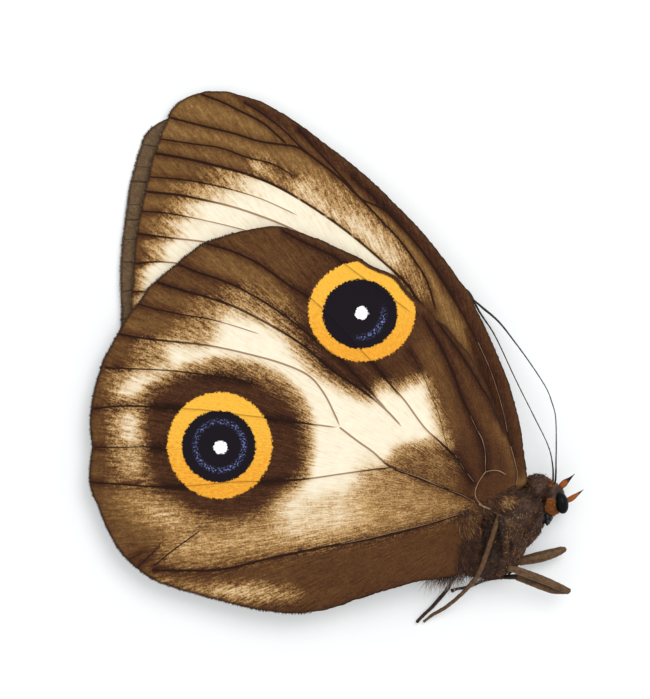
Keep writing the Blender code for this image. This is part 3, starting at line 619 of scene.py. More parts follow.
def fine_plan(outline_points, veins):
    """Triangles over a wing's plan: the points, the faces and the outline as it is used."""
    outline = smooth_line(in_plan(outline_points), 0.2, closed=True)
    inward = np.roll(outline, -1, axis=0) - np.roll(outline, 1, axis=0)
    inward = np.stack([-inward[:, 1], inward[:, 0]], axis=1) / np.linalg.norm(inward, axis=1)[:, None]
    nicks = np.array([noise.noise(Vector((2.6 * x, 2.6 * y, 0.0))) for x, y in outline])
    outline = outline + 0.07 * nicks[:, None] * inward
    plan, edges = [], []

    def add_line(line, closed=False):
        first = len(plan)
        plan.extend(Vector(point) for point in line)
        edges.extend((first + i, first + i + 1) for i in range(len(line) - 1))
        if closed:
            edges.append((first + len(line) - 1, first))

    add_line(outline, closed=True)
    low, high = outline.min(axis=0), outline.max(axis=0)
    rows = np.arange(low[1], high[1], FINE_STEP * math.sqrt(0.75))
    grid = np.array([(x + (row % 2) * 0.5 * FINE_STEP, y) for row, y in enumerate(rows)
                     for x in np.arange(low[0], high[0], FINE_STEP)])
    grid = grid[is_inside(grid, outline)]
    clear = distance_to_line(grid, np.vstack([outline, outline[:1]])) > 0.12
    for points, drawn_half_width, _ in veins:
        half_width = VEIN_WIDTH_GAIN * drawn_half_width
        centre = smooth_line(in_plan(points), 0.3)
        run = np.gradient(centre, axis=0)
        left = np.stack([-run[:, 1], run[:, 0]], axis=1) / np.linalg.norm(run, axis=1)[:, None]
        for line in (centre, centre + half_width * left, centre - half_width * left):
            inside = is_inside(line, outline)
            inside &= distance_to_line(line, np.vstack([outline, outline[:1]])) > 0.05
            for run_of_points in np.split(line, np.flatnonzero(~inside)):
                kept = run_of_points[is_inside(run_of_points, outline)]
                if len(kept) > 1:
                    add_line(kept)
        clear &= distance_to_line(grid, centre) > half_width + 0.08
    plan.extend(Vector(point) for point in grid[clear])
    plan, _, faces = delaunay_2d_cdt(plan, edges, [list(range(len(outline)))], 1, 0.01)[:3]
    flat = np.array([tuple(point) for point in plan])
    triangles = np.array([face for face in faces if len(face) == 3])
    return flat, triangles, outline


def vein_values(flat, veins):
    """How strongly each point is marked as vein, and how far it is from the nearest one."""
    line_share = np.zeros(len(flat))
    nearest = np.full(len(flat), 1e9)
    for points, drawn_half_width, strength in veins:
        line = smooth_line(in_plan(points), 0.3)
        distance = distance_to_line(flat, line)
        fall = distance / (VEIN_WIDTH_GAIN * drawn_half_width)
        fade = smooth_share(0.3 + 0.6 * np.linalg.norm(flat - line[-1], axis=1))
        line_share = np.maximum(line_share, fade * strength * np.clip(1.0 - fall, 0.0, 1.0))
        nearest = np.minimum(nearest, distance)
    return line_share, nearest


def add_mesh(name, verts, faces, smooth=True):
    mesh = bpy.data.meshes.new(name)
    mesh.from_pydata([tuple(vert) for vert in verts], [], [tuple(face) for face in faces])
    if smooth:
        mesh.shade_smooth()
    return add_object(name, mesh)


def add_values(mesh, name, values):
    """Keeps one number at each point of the mesh, for its material to read."""
    kept = mesh.attributes.new(name, "FLOAT", "POINT")
    kept.data.foreach_set("value", np.asarray(values, dtype=np.float32))


def border_edges(triangles):
    edges = np.vstack([triangles[:, [0, 1]], triangles[:, [1, 2]], triangles[:, [2, 0]]])
    seen = {tuple(edge) for edge in edges.tolist()}
    return [edge for edge in edges.tolist() if (edge[1], edge[0]) not in seen]


def make_wing(name, drawn, values, side, is_hindwing):
    """A wing's closed sheet. Material 0 is its outer face, material 1 its inner face."""
    flat, triangles, outline = drawn
    pale, tone, line_share, nearest = values
    # Painted shade: the brown darkens beside each vein, where a raised vein's shadow falls.
    tone = tone + 0.05 - 0.2 * bell(nearest, 0.34)
    placed = place_in_plan(flat, side, is_hindwing)
    middle = wing_height(placed, side, HINDWING_OFFSET if is_hindwing else FOREWING_OFFSET, is_hindwing)
    edge = distance_to_line(flat, np.vstack([outline, outline[:1]]))
    pleat = PLEAT_DEPTH * (1.0 - np.exp(-nearest / 0.9)) * smooth_share(edge / 1.5)
    outer = middle + side * (0.5 * WING_THICKNESS - pleat + RIDGE_HEIGHT * line_share)
    inner = outer - side * (SHEET_THICKNESS * (0.35 + 0.65 * smooth_share(edge / 1.2)) + 0.6 * RIDGE_HEIGHT
                            * line_share)
    count = len(flat)
    verts = np.vstack([np.column_stack([placed, outer]), np.column_stack([placed, inner])]) * MM
    flipped = triangles[:, ::-1]
    outer_faces, inner_faces = (triangles, flipped) if side > 0 else (flipped, triangles)
    walls = [(second, first, first + count, second + count) for first, second in border_edges(outer_faces)]
    faces = outer_faces.tolist() + (inner_faces + count).tolist() + walls
    wing = add_mesh(name, verts, faces)
    mesh = wing.data
    for label, one_side in (("pale", pale), ("tone", tone), ("vein", line_share), ("edge", edge)):
        add_values(mesh, label, np.concatenate([one_side, one_side]))
    plan = mesh.attributes.new("plan", "FLOAT_VECTOR", "POINT")
    plan_values = np.column_stack([flat, np.zeros(count)])
    plan.data.foreach_set("vector", np.vstack([plan_values, plan_values]).astype(np.float32).ravel())
    slots = np.zeros(len(faces), dtype=np.int32)
    slots[len(outer_faces):2 * len(outer_faces)] = 1
    mesh.polygons.foreach_set("material_index", slots)
    print(name, "triangles", 2 * len(triangles) + 2 * len(walls))
    return wing


forewing_plan = fine_plan(FOREWING_OUTLINE, FOREWING_VEINS)
hindwing_plan = fine_plan(HINDWING_OUTLINE, HINDWING_VEINS)
forewing_drawn = (*forewing_values(forewing_plan[0]), *vein_values(forewing_plan[0], FOREWING_VEINS))
hindwing_drawn = (*hindwing_values(hindwing_plan[0]), *vein_values(hindwing_plan[0], HINDWING_VEINS))
wings = {
    "forewing_near": make_wing("wing_fore_near", forewing_plan, forewing_drawn, 1, False),
    "hindwing_near": make_wing("wing_hind_near", hindwing_plan, hindwing_drawn, 1, True),
    "forewing_far": make_wing("wing_fore_far", forewing_plan, forewing_drawn, -1, False),
    "hindwing_far": make_wing("wing_hind_far", hindwing_plan, hindwing_drawn, -1, True),
}
for node, wing in wings.items():
    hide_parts(node)
    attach(wing, "root")

# %% [markdown]
# One node group gives the grain of the scales: fine streaks that fan out from the wing's root, as
# the rows of scales do. A second one draws a ringed eyespot from the distance to its centre, with a
# ragged edge, because each ring ends at whole scales.

# %% Shader groups for scales and eyespots
# How far from the root, in millimetres, the streaks have the width that is asked for.
USUAL_REACH = 26.0
grain_group, grain_in, grain_out = new_group(
    "scale_grain", {"Plan": None, "Length": 2.2, "Width": 7.0}, ["Fine", "Coarse"])
parts = add_node(grain_group, "ShaderNodeSeparateXYZ", {0: grain_in.outputs["Plan"]})
from_root_x = calculate(grain_group, "SUBTRACT", parts.outputs[0], float(WING_ROOT[0]))
from_root_y = calculate(grain_group, "SUBTRACT", parts.outputs[1], float(WING_ROOT[1]))
reach = length_of(grain_group, from_root_x, from_root_y)
angle = calculate(grain_group, "ARCTAN2", from_root_y, from_root_x)
arc = calculate(grain_group, "MULTIPLY", angle, USUAL_REACH)
along = calculate(grain_group, "MULTIPLY", reach, grain_in.outputs["Length"])
across = calculate(grain_group, "MULTIPLY", arc, grain_in.outputs["Width"])
fan = add_node(grain_group, "ShaderNodeCombineXYZ", {0: along, 1: across})
fine = add_node(grain_group, "ShaderNodeTexNoise",
                {"Vector": fan.outputs[0], "Scale": 1.0, "Detail": 2.0, "Roughness": 0.7})
coarse = add_node(grain_group, "ShaderNodeTexNoise",
                  {"Vector": grain_in.outputs["Plan"], "Scale": 1.3, "Detail": 3.0, "Roughness": 0.6})
grain_group.links.new(fine.outputs["Fac"], grain_out.inputs["Fine"])
grain_group.links.new(coarse.outputs["Fac"], grain_out.inputs["Coarse"])

eyespot_group, eyespot_in, eyespot_out = new_group(
    "eyespot",
    {"Plan": None, "X": 0.0, "Y": 0.0, "Ring X": 5.2, "Ring Y": 5.2, "Disc X": 3.7, "Disc Y": 3.6,
     "Disc Shift X": 0.0, "Disc Shift Y": 0.0, "Ragged": 0.12},
    ["Ring", "Disc", "Offset X", "Offset Y", "Warp"])
spot_parts = add_node(eyespot_group, "ShaderNodeSeparateXYZ", {0: eyespot_in.outputs["Plan"]})
spot_x = calculate(eyespot_group, "SUBTRACT", spot_parts.outputs[0], eyespot_in.outputs["X"])
spot_y = calculate(eyespot_group, "SUBTRACT", spot_parts.outputs[1], eyespot_in.outputs["Y"])
rag = add_node(eyespot_group, "ShaderNodeTexNoise",
               {"Vector": eyespot_in.outputs["Plan"], "Scale": 3.6, "Detail": 3.0, "Roughness": 0.75})
warp = calculate(eyespot_group, "MULTIPLY", calculate(eyespot_group, "SUBTRACT", rag.outputs["Fac"], 0.5),
                 eyespot_in.outputs["Ragged"])


def oval_share(tree, x, y, size_x, size_y, warp_amount):
    """1 inside an oval, 0 outside, with a narrow ragged edge."""
    reach_share = length_of(tree, calculate(tree, "DIVIDE", x, size_x), calculate(tree, "DIVIDE", y, size_y))
    return remap(tree, calculate(tree, "ADD", reach_share, warp_amount), 1.012, 0.988)


ring_share = oval_share(eyespot_group, spot_x, spot_y, eyespot_in.outputs["Ring X"],
                        eyespot_in.outputs["Ring Y"], warp)
disc_x = calculate(eyespot_group, "SUBTRACT", spot_x, eyespot_in.outputs["Disc Shift X"])
disc_y = calculate(eyespot_group, "SUBTRACT", spot_y, eyespot_in.outputs["Disc Shift Y"])
disc_share = oval_share(eyespot_group, disc_x, disc_y, eyespot_in.outputs["Disc X"],
                        eyespot_in.outputs["Disc Y"], calculate(eyespot_group, "MULTIPLY", warp, 1.3))
for label, value in (("Ring", ring_share), ("Disc", disc_share), ("Offset X", spot_x),
                     ("Offset Y", spot_y), ("Warp", warp)):
    eyespot_group.links.new(value, eyespot_out.inputs[label])
print("groups:", grain_group.name, eyespot_group.name)

# %% [markdown]
# The outer face mixes the scales by the drawn shares. The inner face, which shows only as a strip
# of the lower forewing, is a plain dull brown. Dry scales are matte.

# %% Wing materials
BROWN_TONES = [(0.0, linear(32, 17, 10)), (0.2, linear(66, 37, 22)), (0.4, linear(94, 62, 33)),
               (0.6, linear(124, 90, 50)), (0.8, linear(168, 128, 76)), (1.0, linear(206, 168, 114))]
CREAM = linear(247, 238, 214)
WARM_CREAM = linear(216, 182, 132)
GOLD = linear(182, 138, 82)
GOLD_STRENGTH = 0.62
DARK_VEIN = linear(38, 20, 12)
PALE_VEIN = linear(136, 90, 48)
EDGE_BROWN = linear(52, 34, 23)
RING_YELLOW = linear(243, 186, 66)
RING_ORANGE = linear(230, 146, 36)
RING_VEIN = linear(110, 60, 24)
DISC_BLACK = linear(24, 19, 26)
DISC_VEIN = linear(8, 6, 9)
SPECK_BLUE = linear(132, 144, 208)
PUPIL_WHITE = linear(250, 248, 252)
INNER_TONES = [(0.3, linear(76, 56, 38)), (0.5, linear(98, 76, 52)), (0.7, linear(120, 96, 68))]
INNER_VEIN = linear(44, 33, 25)


def attribute(tree, name, output="Fac"):
    return add_node(tree, "ShaderNodeAttribute", None, attribute_name=name).outputs[output]


def speckle(tree, plan, scale):
    """A noise as fine as single scales."""
    made = add_node(tree, "ShaderNodeTexNoise",
                    {"Vector": plan, "Scale": scale, "Detail": 2.0, "Roughness": 0.8})
    return made.outputs["Fac"]


def scale_colour(tree):
    """The mixed colour of brown and cream scales, before any eyespot."""
    plan = attribute(tree, "plan", "Vector")
    pale, tone, vein = (attribute(tree, label) for label in ("pale", "tone", "vein"))
    grain = place_group(tree, grain_group, {"Plan": plan})
    mixed_noise = calculate(tree, "MULTIPLY_ADD", speckle(tree, plan, 5.6), 0.55,
                            calculate(tree, "MULTIPLY", grain.outputs["Fine"], 0.45))
    centred = calculate(tree, "SUBTRACT", mixed_noise, 0.5)
    wobble = calculate(tree, "MULTIPLY", calculate(tree, "SUBTRACT", grain.outputs["Coarse"], 0.5), 0.5)
    streaks = place_group(tree, grain_group, {"Plan": plan, "Length": 0.45, "Width": 4.5})
    streak = calculate(tree, "SUBTRACT", streaks.outputs["Fine"], 0.5)
    mixing = calculate(tree, "MULTIPLY", pale, calculate(tree, "SUBTRACT", 1.0, pale))
    swing = calculate(tree, "MULTIPLY_ADD", mixing, 6.8, 0.3)
    drift = calculate(tree, "MULTIPLY", wobble, remap(tree, pale, 0.0, 0.3, 0.15, 1.0))
    drift = calculate(tree, "ADD", drift, calculate(tree, "MULTIPLY", streak, calculate(
        tree, "MULTIPLY_ADD", mixing, 4.0, 0.12)))
    amount = calculate(tree, "ADD", calculate(tree, "MULTIPLY_ADD", centred, swing, pale), drift)
    cream_share = remap(tree, amount, 0.34, 0.84)
    gold_share = remap(tree, amount, 0.1, 0.5)
    tone_noise = calculate(tree, "MULTIPLY_ADD", centred, 0.7, tone)
    tone_noise = calculate(tree, "ADD", tone_noise, calculate(tree, "MULTIPLY_ADD", wobble, 0.4, calculate(
        tree, "MULTIPLY", streak, 0.45)))
    brown = ramp(tree, tone_noise, BROWN_TONES)
    with_gold = mix_colours(tree, calculate(tree, "MULTIPLY", gold_share, GOLD_STRENGTH), brown, GOLD)
    warmth = calculate(tree, "ADD", pale, calculate(tree, "MULTIPLY_ADD", wobble, 0.6, calculate(
        tree, "MULTIPLY", streak, 0.7)))
    cream = mix_colours(tree, remap(tree, warmth, 1.12, 0.48), CREAM, WARM_CREAM)
    mixed = mix_colours(tree, cream_share, with_gold, cream)
    thinned = calculate(tree, "SUBTRACT", vein, remap(tree, pale, 0.5, 0.95, 0.0, 0.12))
    vein_share = remap(tree, thinned, 0.05, 0.4)
    vein_colour = mix_colours(tree, remap(tree, pale, 0.55, 0.95), DARK_VEIN, PALE_VEIN)
    vein_strength = calculate(tree, "MULTIPLY", vein_share, remap(tree, pale, 1.0, 0.4, 0.82, 0.95))
    return plan, mix_colours(tree, vein_strength, mixed, vein_colour), grain


def add_edge_line(tree, colour, plan):
    """A dark line close to the wing's edge."""
    wave = add_node(tree, "ShaderNodeTexNoise", {"Vector": plan, "Scale": 2.2, "Detail": 2.0})
    edge = calculate(tree, "MULTIPLY_ADD", wave.outputs["Fac"], 0.16, attribute(tree, "edge"))
    return mix_colours(tree, remap(tree, edge, 0.42, 0.1, 0.0, 0.82), colour, EDGE_BROWN)


def add_bump(tree, shader, height, strength, distance):
    bump = add_node(tree, "ShaderNodeBump", {"Height": height, "Strength": strength, "Distance": distance})
    tree.links.new(bump.outputs["Normal"], shader.inputs["Normal"])


def blue_specks(tree, plan, x, y, rule):
    """The share of blue scales: a speckled band round the pupil, stronger towards one side."""
    from_middle = [calculate(tree, "SUBTRACT", x, rule["x"]), calculate(tree, "SUBTRACT", y, rule["y"])]
    off_band = calculate(tree, "SUBTRACT", length_of(tree, *from_middle), rule["reach"])
    band = remap(tree, calculate(tree, "ABSOLUTE", off_band), rule["width"], 0.0)
    side = calculate(tree, "ADD", calculate(tree, "MULTIPLY", x, rule["toward"][0]),
                     calculate(tree, "MULTIPLY", y, rule["toward"][1]))
    side = remap(tree, side, rule["side"][0], rule["side"][1], rule["least"], 1.0)
    return calculate(tree, "MULTIPLY", calculate(tree, "MULTIPLY", band, side),
                     remap(tree, speckle(tree, plan, 5.2), 0.51, 0.63))


def add_eyespot(tree, colour, plan, grain, spot):
    """Lays one eyespot over the colour: ring, black disc, blue specks and a white pupil."""
    place = place_group(tree, eyespot_group, {"Plan": plan, **spot["sizes"]})
    x, y, ragged = (place.outputs[label] for label in ("Offset X", "Offset Y", "Warp"))
    vein, edge = attribute(tree, "vein"), attribute(tree, "edge")
    # The ring's colour follows the scale grain, plus a painted light that makes it yellower towards its
    # upper side.
    ring_mottle_and_top_light = calculate(tree, "MULTIPLY_ADD", grain.outputs["Fine"], 1.1, calculate(
        tree, "MULTIPLY", remap(tree, y, -4.5, 4.5), 0.22))
    ring = mix_colours(tree, remap(tree, ring_mottle_and_top_light, 0.34, 0.84), RING_ORANGE, RING_YELLOW)
    ring = mix_colours(tree, remap(tree, vein, 0.2, 0.7, 0.0, 0.5), ring, RING_VEIN)
    in_wing = remap(tree, calculate(tree, "MULTIPLY_ADD", ragged, 2.0, edge), 0.3, 0.5)
    colour = mix_colours(tree, calculate(tree, "MULTIPLY", place.outputs["Ring"], in_wing), colour, ring)
    disc = mix_colours(tree, blue_specks(tree, plan, x, y, spot["blue"]), DISC_BLACK, SPECK_BLUE)
    disc = mix_colours(tree, remap(tree, vein, 0.3, 0.9, 0.0, 0.35), disc, DISC_VEIN)
    colour = mix_colours(tree, place.outputs["Disc"], colour, disc)
    pupil_x, pupil_y, half_width, half_height = spot["pupil"]
    from_pupil = [calculate(tree, "SUBTRACT", x, pupil_x), calculate(tree, "SUBTRACT", y, pupil_y)]
    pupil = oval_share(tree, *from_pupil, half_width, half_height,
                       calculate(tree, "MULTIPLY", ragged, 7.0))
    return mix_colours(tree, pupil, colour, PUPIL_WHITE)


UPPER_SPOT = {
    "sizes": {"X": 2.69, "Y": 4.6, "Ring X": 5.34, "Ring Y": 5.0, "Disc X": 3.75, "Disc Y": 3.48,
              "Disc Shift X": -0.19, "Disc Shift Y": -0.24, "Ragged": 0.16},
    "pupil": (-0.04, -0.14, 0.66, 0.64),
    "blue": {"x": -0.2, "y": -0.2, "reach": 2.35, "width": 0.5, "toward": (0.75, -0.66), "side": (0.9, 2.3),
             "least": 0.0},
}
LOWER_SPOT = {
    "sizes": {"X": -11.55, "Y": -8.8, "Ring X": 5.24, "Ring Y": 5.32, "Disc X": 3.7, "Disc Y": 3.6,
              "Disc Shift X": -0.08, "Disc Shift Y": -0.1, "Ragged": 0.16},
    "pupil": (0.1, -0.2, 0.7, 0.66),
    "blue": {"x": 0.0, "y": -0.05, "reach": 2.45, "width": 0.42, "toward": (0.6, -0.5), "side": (-3.4, 1.6),
             "least": 0.75},
}


def make_outer_material(name, spots):
    material, tree, shader = new_material(name, 0.8, Specular_IOR_Level=0.1)
    plan, colour, grain = scale_colour(tree)
    colour = add_edge_line(tree, colour, plan)
    for spot in spots:
        colour = add_eyespot(tree, colour, plan, grain, spot)
    tree.links.new(colour, shader.inputs["Base Color"])
    add_bump(tree, shader, grain.outputs["Fine"], 0.2, 0.03 * MM)
    return material


def make_inner_material():
    material, tree, shader = new_material("wing_inner_brown", 0.7, Specular_IOR_Level=0.2)
    plan = attribute(tree, "plan", "Vector")
    grain = place_group(tree, grain_group, {"Plan": plan})
    both_grains = calculate(tree, "MULTIPLY_ADD", grain.outputs["Fine"], 0.55, calculate(
        tree, "MULTIPLY", grain.outputs["Coarse"], 0.45))
    vein_share = remap(tree, attribute(tree, "vein"), 0.15, 0.7, 0.0, 0.8)
    lined = mix_colours(tree, vein_share, ramp(tree, both_grains, INNER_TONES), INNER_VEIN)
    tree.links.new(add_edge_line(tree, lined, plan), shader.inputs["Base Color"])
    add_bump(tree, shader, grain.outputs["Fine"], 0.35, 0.06 * MM)
    return material


forewing_scales = make_outer_material("forewing_scales", [])
hindwing_scales = make_outer_material("hindwing_scales", [UPPER_SPOT, LOWER_SPOT])
inner_scales = make_inner_material()
for node, wing in wings.items():
    wing.data.materials.append(hindwing_scales if "hindwing" in node else forewing_scales)
    wing.data.materials.append(inner_scales)
print("wing materials made")

# %% [markdown]
# The legs, antennae and feelers are hard tubes, and the body is a lumpy shell under matted hair.
# Two builders make all of it: one sweeps a ring along a path, and the other makes hairs as narrow
# tapered blades, each from its root to its tip.

# %% Builders for rods and hair
def sweep(path, step, sides, rough=0.0):
    """A closed rod along a smooth (x, y, z, radius) path: its points and its faces."""
    line = smooth_line(path, step)
    centres, radii = line[:, :3], line[:, 3]
    run = np.gradient(centres, axis=0)
    run /= np.linalg.norm(run, axis=1)[:, None]
    side = np.cross(run, (0.0, 0.0, 1.0))
    side /= np.maximum(np.linalg.norm(side, axis=1), 1e-6)[:, None]
    up = np.cross(side, run)
    angles = 2.0 * math.pi * np.arange(sides) / sides
    rings = (np.cos(angles)[None, :, None] * side[:, None, :]
             + np.sin(angles)[None, :, None] * up[:, None, :])
    verts = centres[:, None, :] + radii[:, None, None] * rings
    if rough:
        bumps = np.array([[noise.noise(Vector(point) * 4.0) for point in ring] for ring in verts])
        verts = verts + rough * bumps[:, :, None] * rings
    count = len(line)
    verts = verts.reshape(-1, 3).tolist()
    faces = [(i * sides + j, i * sides + (j + 1) % sides, (i + 1) * sides + (j + 1) % sides,
              (i + 1) * sides + j) for i in range(count - 1) for j in range(sides)]
    verts.append((centres[0] - 0.5 * radii[0] * run[0]).tolist())
    verts.append((centres[-1] + 0.5 * radii[-1] * run[-1]).tolist())
    last = (count - 1) * sides
    faces += [(count * sides, (j + 1) % sides, j) for j in range(sides)]
    faces += [(count * sides + 1, last + j, last + (j + 1) % sides) for j in range(sides)]
    return np.array(verts), faces


def join_parts(name, parts):
    verts, faces, offset = [], [], 0
    for part_verts, part_faces in parts:
        verts.append(part_verts)
        faces += [tuple(index + offset for index in face) for face in part_faces]
        offset += len(part_verts)
    return add_mesh(name, np.vstack(verts) * MM, faces)


def make_hair(name, roots, tips, widths, tints, droop=0.12):
    """Hairs as tapered blades. `tints` is each hair's shade, from 0 dark to 1 light."""
    count = len(roots)
    along = tips - roots
    length = np.linalg.norm(along, axis=1)[:, None]
    across = np.cross(along, (0.0, 0.0, 1.0)) + 0.35 * length * chance.normal(size=(count, 3))
    across /= np.maximum(np.linalg.norm(across, axis=1), 1e-6)[:, None]
    middle = roots + 0.55 * along
    middle[:, 2] += droop * length[:, 0]
    half = 0.5 * widths[:, None] * across
    verts = np.stack([roots - half, roots + half, middle + 0.8 * half, middle - 0.8 * half, tips], axis=1)
    verts[:, :, 2] = np.maximum(verts[:, :, 2], 0.02)
    faces = []
    for start in range(0, 5 * count, 5):
        faces.append((start, start + 1, start + 2, start + 3))
        faces.append((start + 3, start + 2, start + 4))
    made = add_mesh(name, verts.reshape(-1, 3) * MM, faces, smooth=False)
    add_values(made.data, "tint", np.repeat(tints, 5))
    return made


def surface_points(mesh_object, count):
    """Random places on a mesh with their normals, in millimetres."""
    mesh = mesh_object.data
    mesh.calc_loop_triangles()
    corners = np.array([[mesh.vertices[i].co[:] for i in triangle.vertices]
                        for triangle in mesh.loop_triangles]) / MM
    normals = np.cross(corners[:, 1] - corners[:, 0], corners[:, 2] - corners[:, 0])
    areas = np.linalg.norm(normals, axis=1)
    picked = chance.choice(len(corners), size=count, p=areas / areas.sum())
    u, v = chance.random(count), chance.random(count)
    flip = u + v > 1.0
    u[flip], v[flip] = 1.0 - u[flip], 1.0 - v[flip]
    base = corners[picked]
    points = base[:, 0] + u[:, None] * (base[:, 1] - base[:, 0]) + v[:, None] * (base[:, 2] - base[:, 0])
    return points, normals[picked] / areas[picked][:, None]


chance = np.random.default_rng(7)


def dress(piece, nodes, material):
    """Gives a piece its material, and lets it stand for the nodes."""
    piece.data.materials.append(material)
    if nodes:
        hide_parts(*nodes)
    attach(piece, "root")
    return piece


print("builders ready")

# %% [markdown]
# Body hair is dull and mixes dark brown with ochre, over a shell of the same browns. The legs are brown, and
# the lengths that lie in shade get a darker copy of it, as painted shade.

# %% Body materials
def make_hair_material(name, stops):
    material, tree, shader = new_material(name, 0.75, Specular_IOR_Level=0.25, Sheen_Weight=0.1)
    tree.links.new(ramp(tree, attribute(tree, "tint"), stops), shader.inputs["Base Color"])
    return material


def make_mottled_material(name, stops, roughness, scale, bump_strength, bump_distance, specular=0.3):
    """A colour that wanders between its stops with a fine noise. `scale` is per metre."""
    material, tree, shader = new_material(name, roughness, Specular_IOR_Level=specular)
    place = add_node(tree, "ShaderNodeTexCoord").outputs["Object"]
    mottle = add_node(tree, "ShaderNodeTexNoise",
                      {"Vector": place, "Scale": scale, "Detail": 5.0, "Roughness": 0.65})
    tree.links.new(ramp(tree, mottle.outputs["Fac"], stops), shader.inputs["Base Color"])
    add_bump(tree, shader, mottle.outputs["Fac"], bump_strength, bump_distance)
    return material


body_hair = make_hair_material("body_hair", [
    (0.0, linear(20, 10, 6)), (0.35, linear(54, 30, 18)), (0.6, linear(100, 62, 34)),
    (0.8, linear(150, 112, 66)), (1.0, linear(196, 158, 106))])
orange_hair = make_hair_material("orange_hair", [
    (0.0, linear(22, 16, 14)), (0.3, linear(84, 44, 20)), (0.6, linear(150, 84, 34)),
    (1.0, linear(196, 126, 58))])
pale_hair = make_hair_material("pale_hair", [
    (0.0, linear(70, 50, 36)), (0.5, linear(150, 134, 116)), (1.0, linear(214, 206, 196))])
fringe_hair = make_hair_material("fringe_hair", [
    (0.0, linear(34, 23, 17)), (0.5, linear(74, 54, 38)), (1.0, linear(136, 116, 92))])
body_shell = make_mottled_material("body_shell", [
    (0.3, linear(24, 13, 9)), (0.5, linear(56, 33, 21)), (0.68, linear(96, 64, 38))],
    0.6, 900.0, 0.6, 0.0002)
leg_shell = make_mottled_material("leg_shell", [
    (0.3, linear(70, 48, 30)), (0.5, linear(92, 66, 42)), (0.7, linear(114, 86, 56))],
    0.5, 2600.0, 0.35, 0.00004, 0.2)
# Painted shade: the same leg brown, darker, for lengths that lie in shade.
leg_painted_shade = make_mottled_material("leg_painted_shade", [
    (0.3, linear(30, 20, 15)), (0.5, linear(48, 33, 24)), (0.7, linear(72, 52, 38))],
    0.5, 2600.0, 0.35, 0.00004, 0.2)
black_horn = make_mottled_material("black_horn", [
    (0.3, linear(16, 14, 14)), (0.7, linear(34, 31, 32))], 0.4, 1500.0, 0.3, 0.00004)
# Painted highlight: the pale colour of veins and wing edges where they catch the light.
vein_painted_highlight = make_mottled_material("vein_painted_highlight", [
    (0.35, linear(112, 84, 60)), (0.65, linear(164, 134, 104))], 0.55, 900.0, 0.3, 0.00003, 0.2)
print("body materials made")

# %% [markdown]
# The thorax, collar and flank are one shell, joined from ovals and remeshed so that they flow into
# each other, with the leg bases as lumps on it. The head is a smaller oval between the eyes.

# %% Body shell
BODY_TURN = math.radians(39.0)
THORAX_OVALS = [
    ((17.2, -16.5, 2.55), (4.3, 3.2, 2.55), BODY_TURN), ((20.15, -13.05, 2.6), (1.5, 1.3, 1.7), BODY_TURN),
    ((16.2, -19.6, 2.5), (2.9, 2.25, 1.95), BODY_TURN), ((18.1, -18.6, 3.2), (2.1, 1.1, 1.5), 1.15),
    ((16.8, -20.6, 3.4), (1.3, 0.8, 1.1), 1.2), ((14.5, -20.6, 2.8), (1.6, 1.2, 1.5), 0.4),
    ((19.3, -16.2, 3.0), (1.2, 1.7, 1.6), 0.5), ((18.1, -18.6, 2.0), (2.1, 1.1, 1.4), 1.15),
]
HEAD_OVALS = [((21.85, -14.0, 2.6), (1.12, 1.5, 1.35), 0.2), ((21.5, -15.0, 2.6), (0.7, 0.8, 0.85), 0.3),
              ((21.3, -12.75, 2.6), (0.75, 0.55, 0.8), 0.2)]


def oval_mesh(name, ovals, around, down):
    """A mesh of ovals, each with a centre, half sizes and a turn in plan."""
    shape = bmesh.new()
    for centre, half_sizes, turn in ovals:
        place = (Matrix.Translation(Vector(centre) * MM) @ Matrix.Rotation(turn, 4, "Z")
                 @ Matrix.Diagonal((*half_sizes, 1.0)))
        bmesh.ops.create_uvsphere(shape, u_segments=around, v_segments=down, radius=MM, matrix=place)
    mesh = bpy.data.meshes.new(name)
    shape.to_mesh(mesh)
    shape.free()
    return mesh


def make_shell(name, ovals, voxel, rough):
    """Ovals joined into one closed shell with a rough surface."""
    mesh = oval_mesh(name + "_ovals", ovals, 40, 24)
    guide = add_object(name + "_ovals", mesh)
    remesh = guide.modifiers.new("join", "REMESH")
    remesh.mode = "VOXEL"
    remesh.voxel_size = voxel * MM
    bpy.context.view_layer.update()
    joined = bpy.data.meshes.new_from_object(guide.evaluated_get(bpy.context.evaluated_depsgraph_get()))
    bpy.data.objects.remove(guide, do_unlink=True)
    bpy.data.meshes.remove(mesh)
    for vert in joined.vertices:
        place = Vector(vert.co) / MM
        lump = noise.noise(place * 1.1) + 0.6 * noise.noise(place * 2.7)
        vert.co = Vector(vert.co) + Vector(vert.normal) * rough * lump * MM
        vert.co.z = max(vert.co.z, 0.02 * MM)
    joined.name = name
    joined.shade_smooth()
    return add_object(name, joined)


thorax = dress(make_shell("thorax_shell", THORAX_OVALS, 0.16, 0.16), ["thorax"], body_shell)
head = dress(make_shell("head_shell", HEAD_OVALS, 0.09, 0.08), ["head"], body_shell)
abdomen_verts, abdomen_faces = sweep(ABDOMEN_PATH, 0.16, 28)
abdomen_centres = smooth_line(ABDOMEN_PATH, 0.16)
nearest_share = np.array([np.argmin(np.linalg.norm(abdomen_centres[:, :3] - vert, axis=1))
                          for vert in abdomen_verts]) / len(abdomen_centres)
pinch = 0.06 * np.abs(np.sin(nearest_share * 8.0 * math.pi))[:, None]
abdomen_axis = abdomen_centres[(nearest_share * len(abdomen_centres)).astype(int), :3]
abdomen_verts = abdomen_axis + (abdomen_verts - abdomen_axis) * (0.93 + pinch)
abdomen = dress(join_parts("abdomen_shell", [(abdomen_verts, abdomen_faces)]), ["abdomen"],
                body_shell)
print("shells:", len(thorax.data.polygons), len(head.data.polygons), len(abdomen.data.polygons))
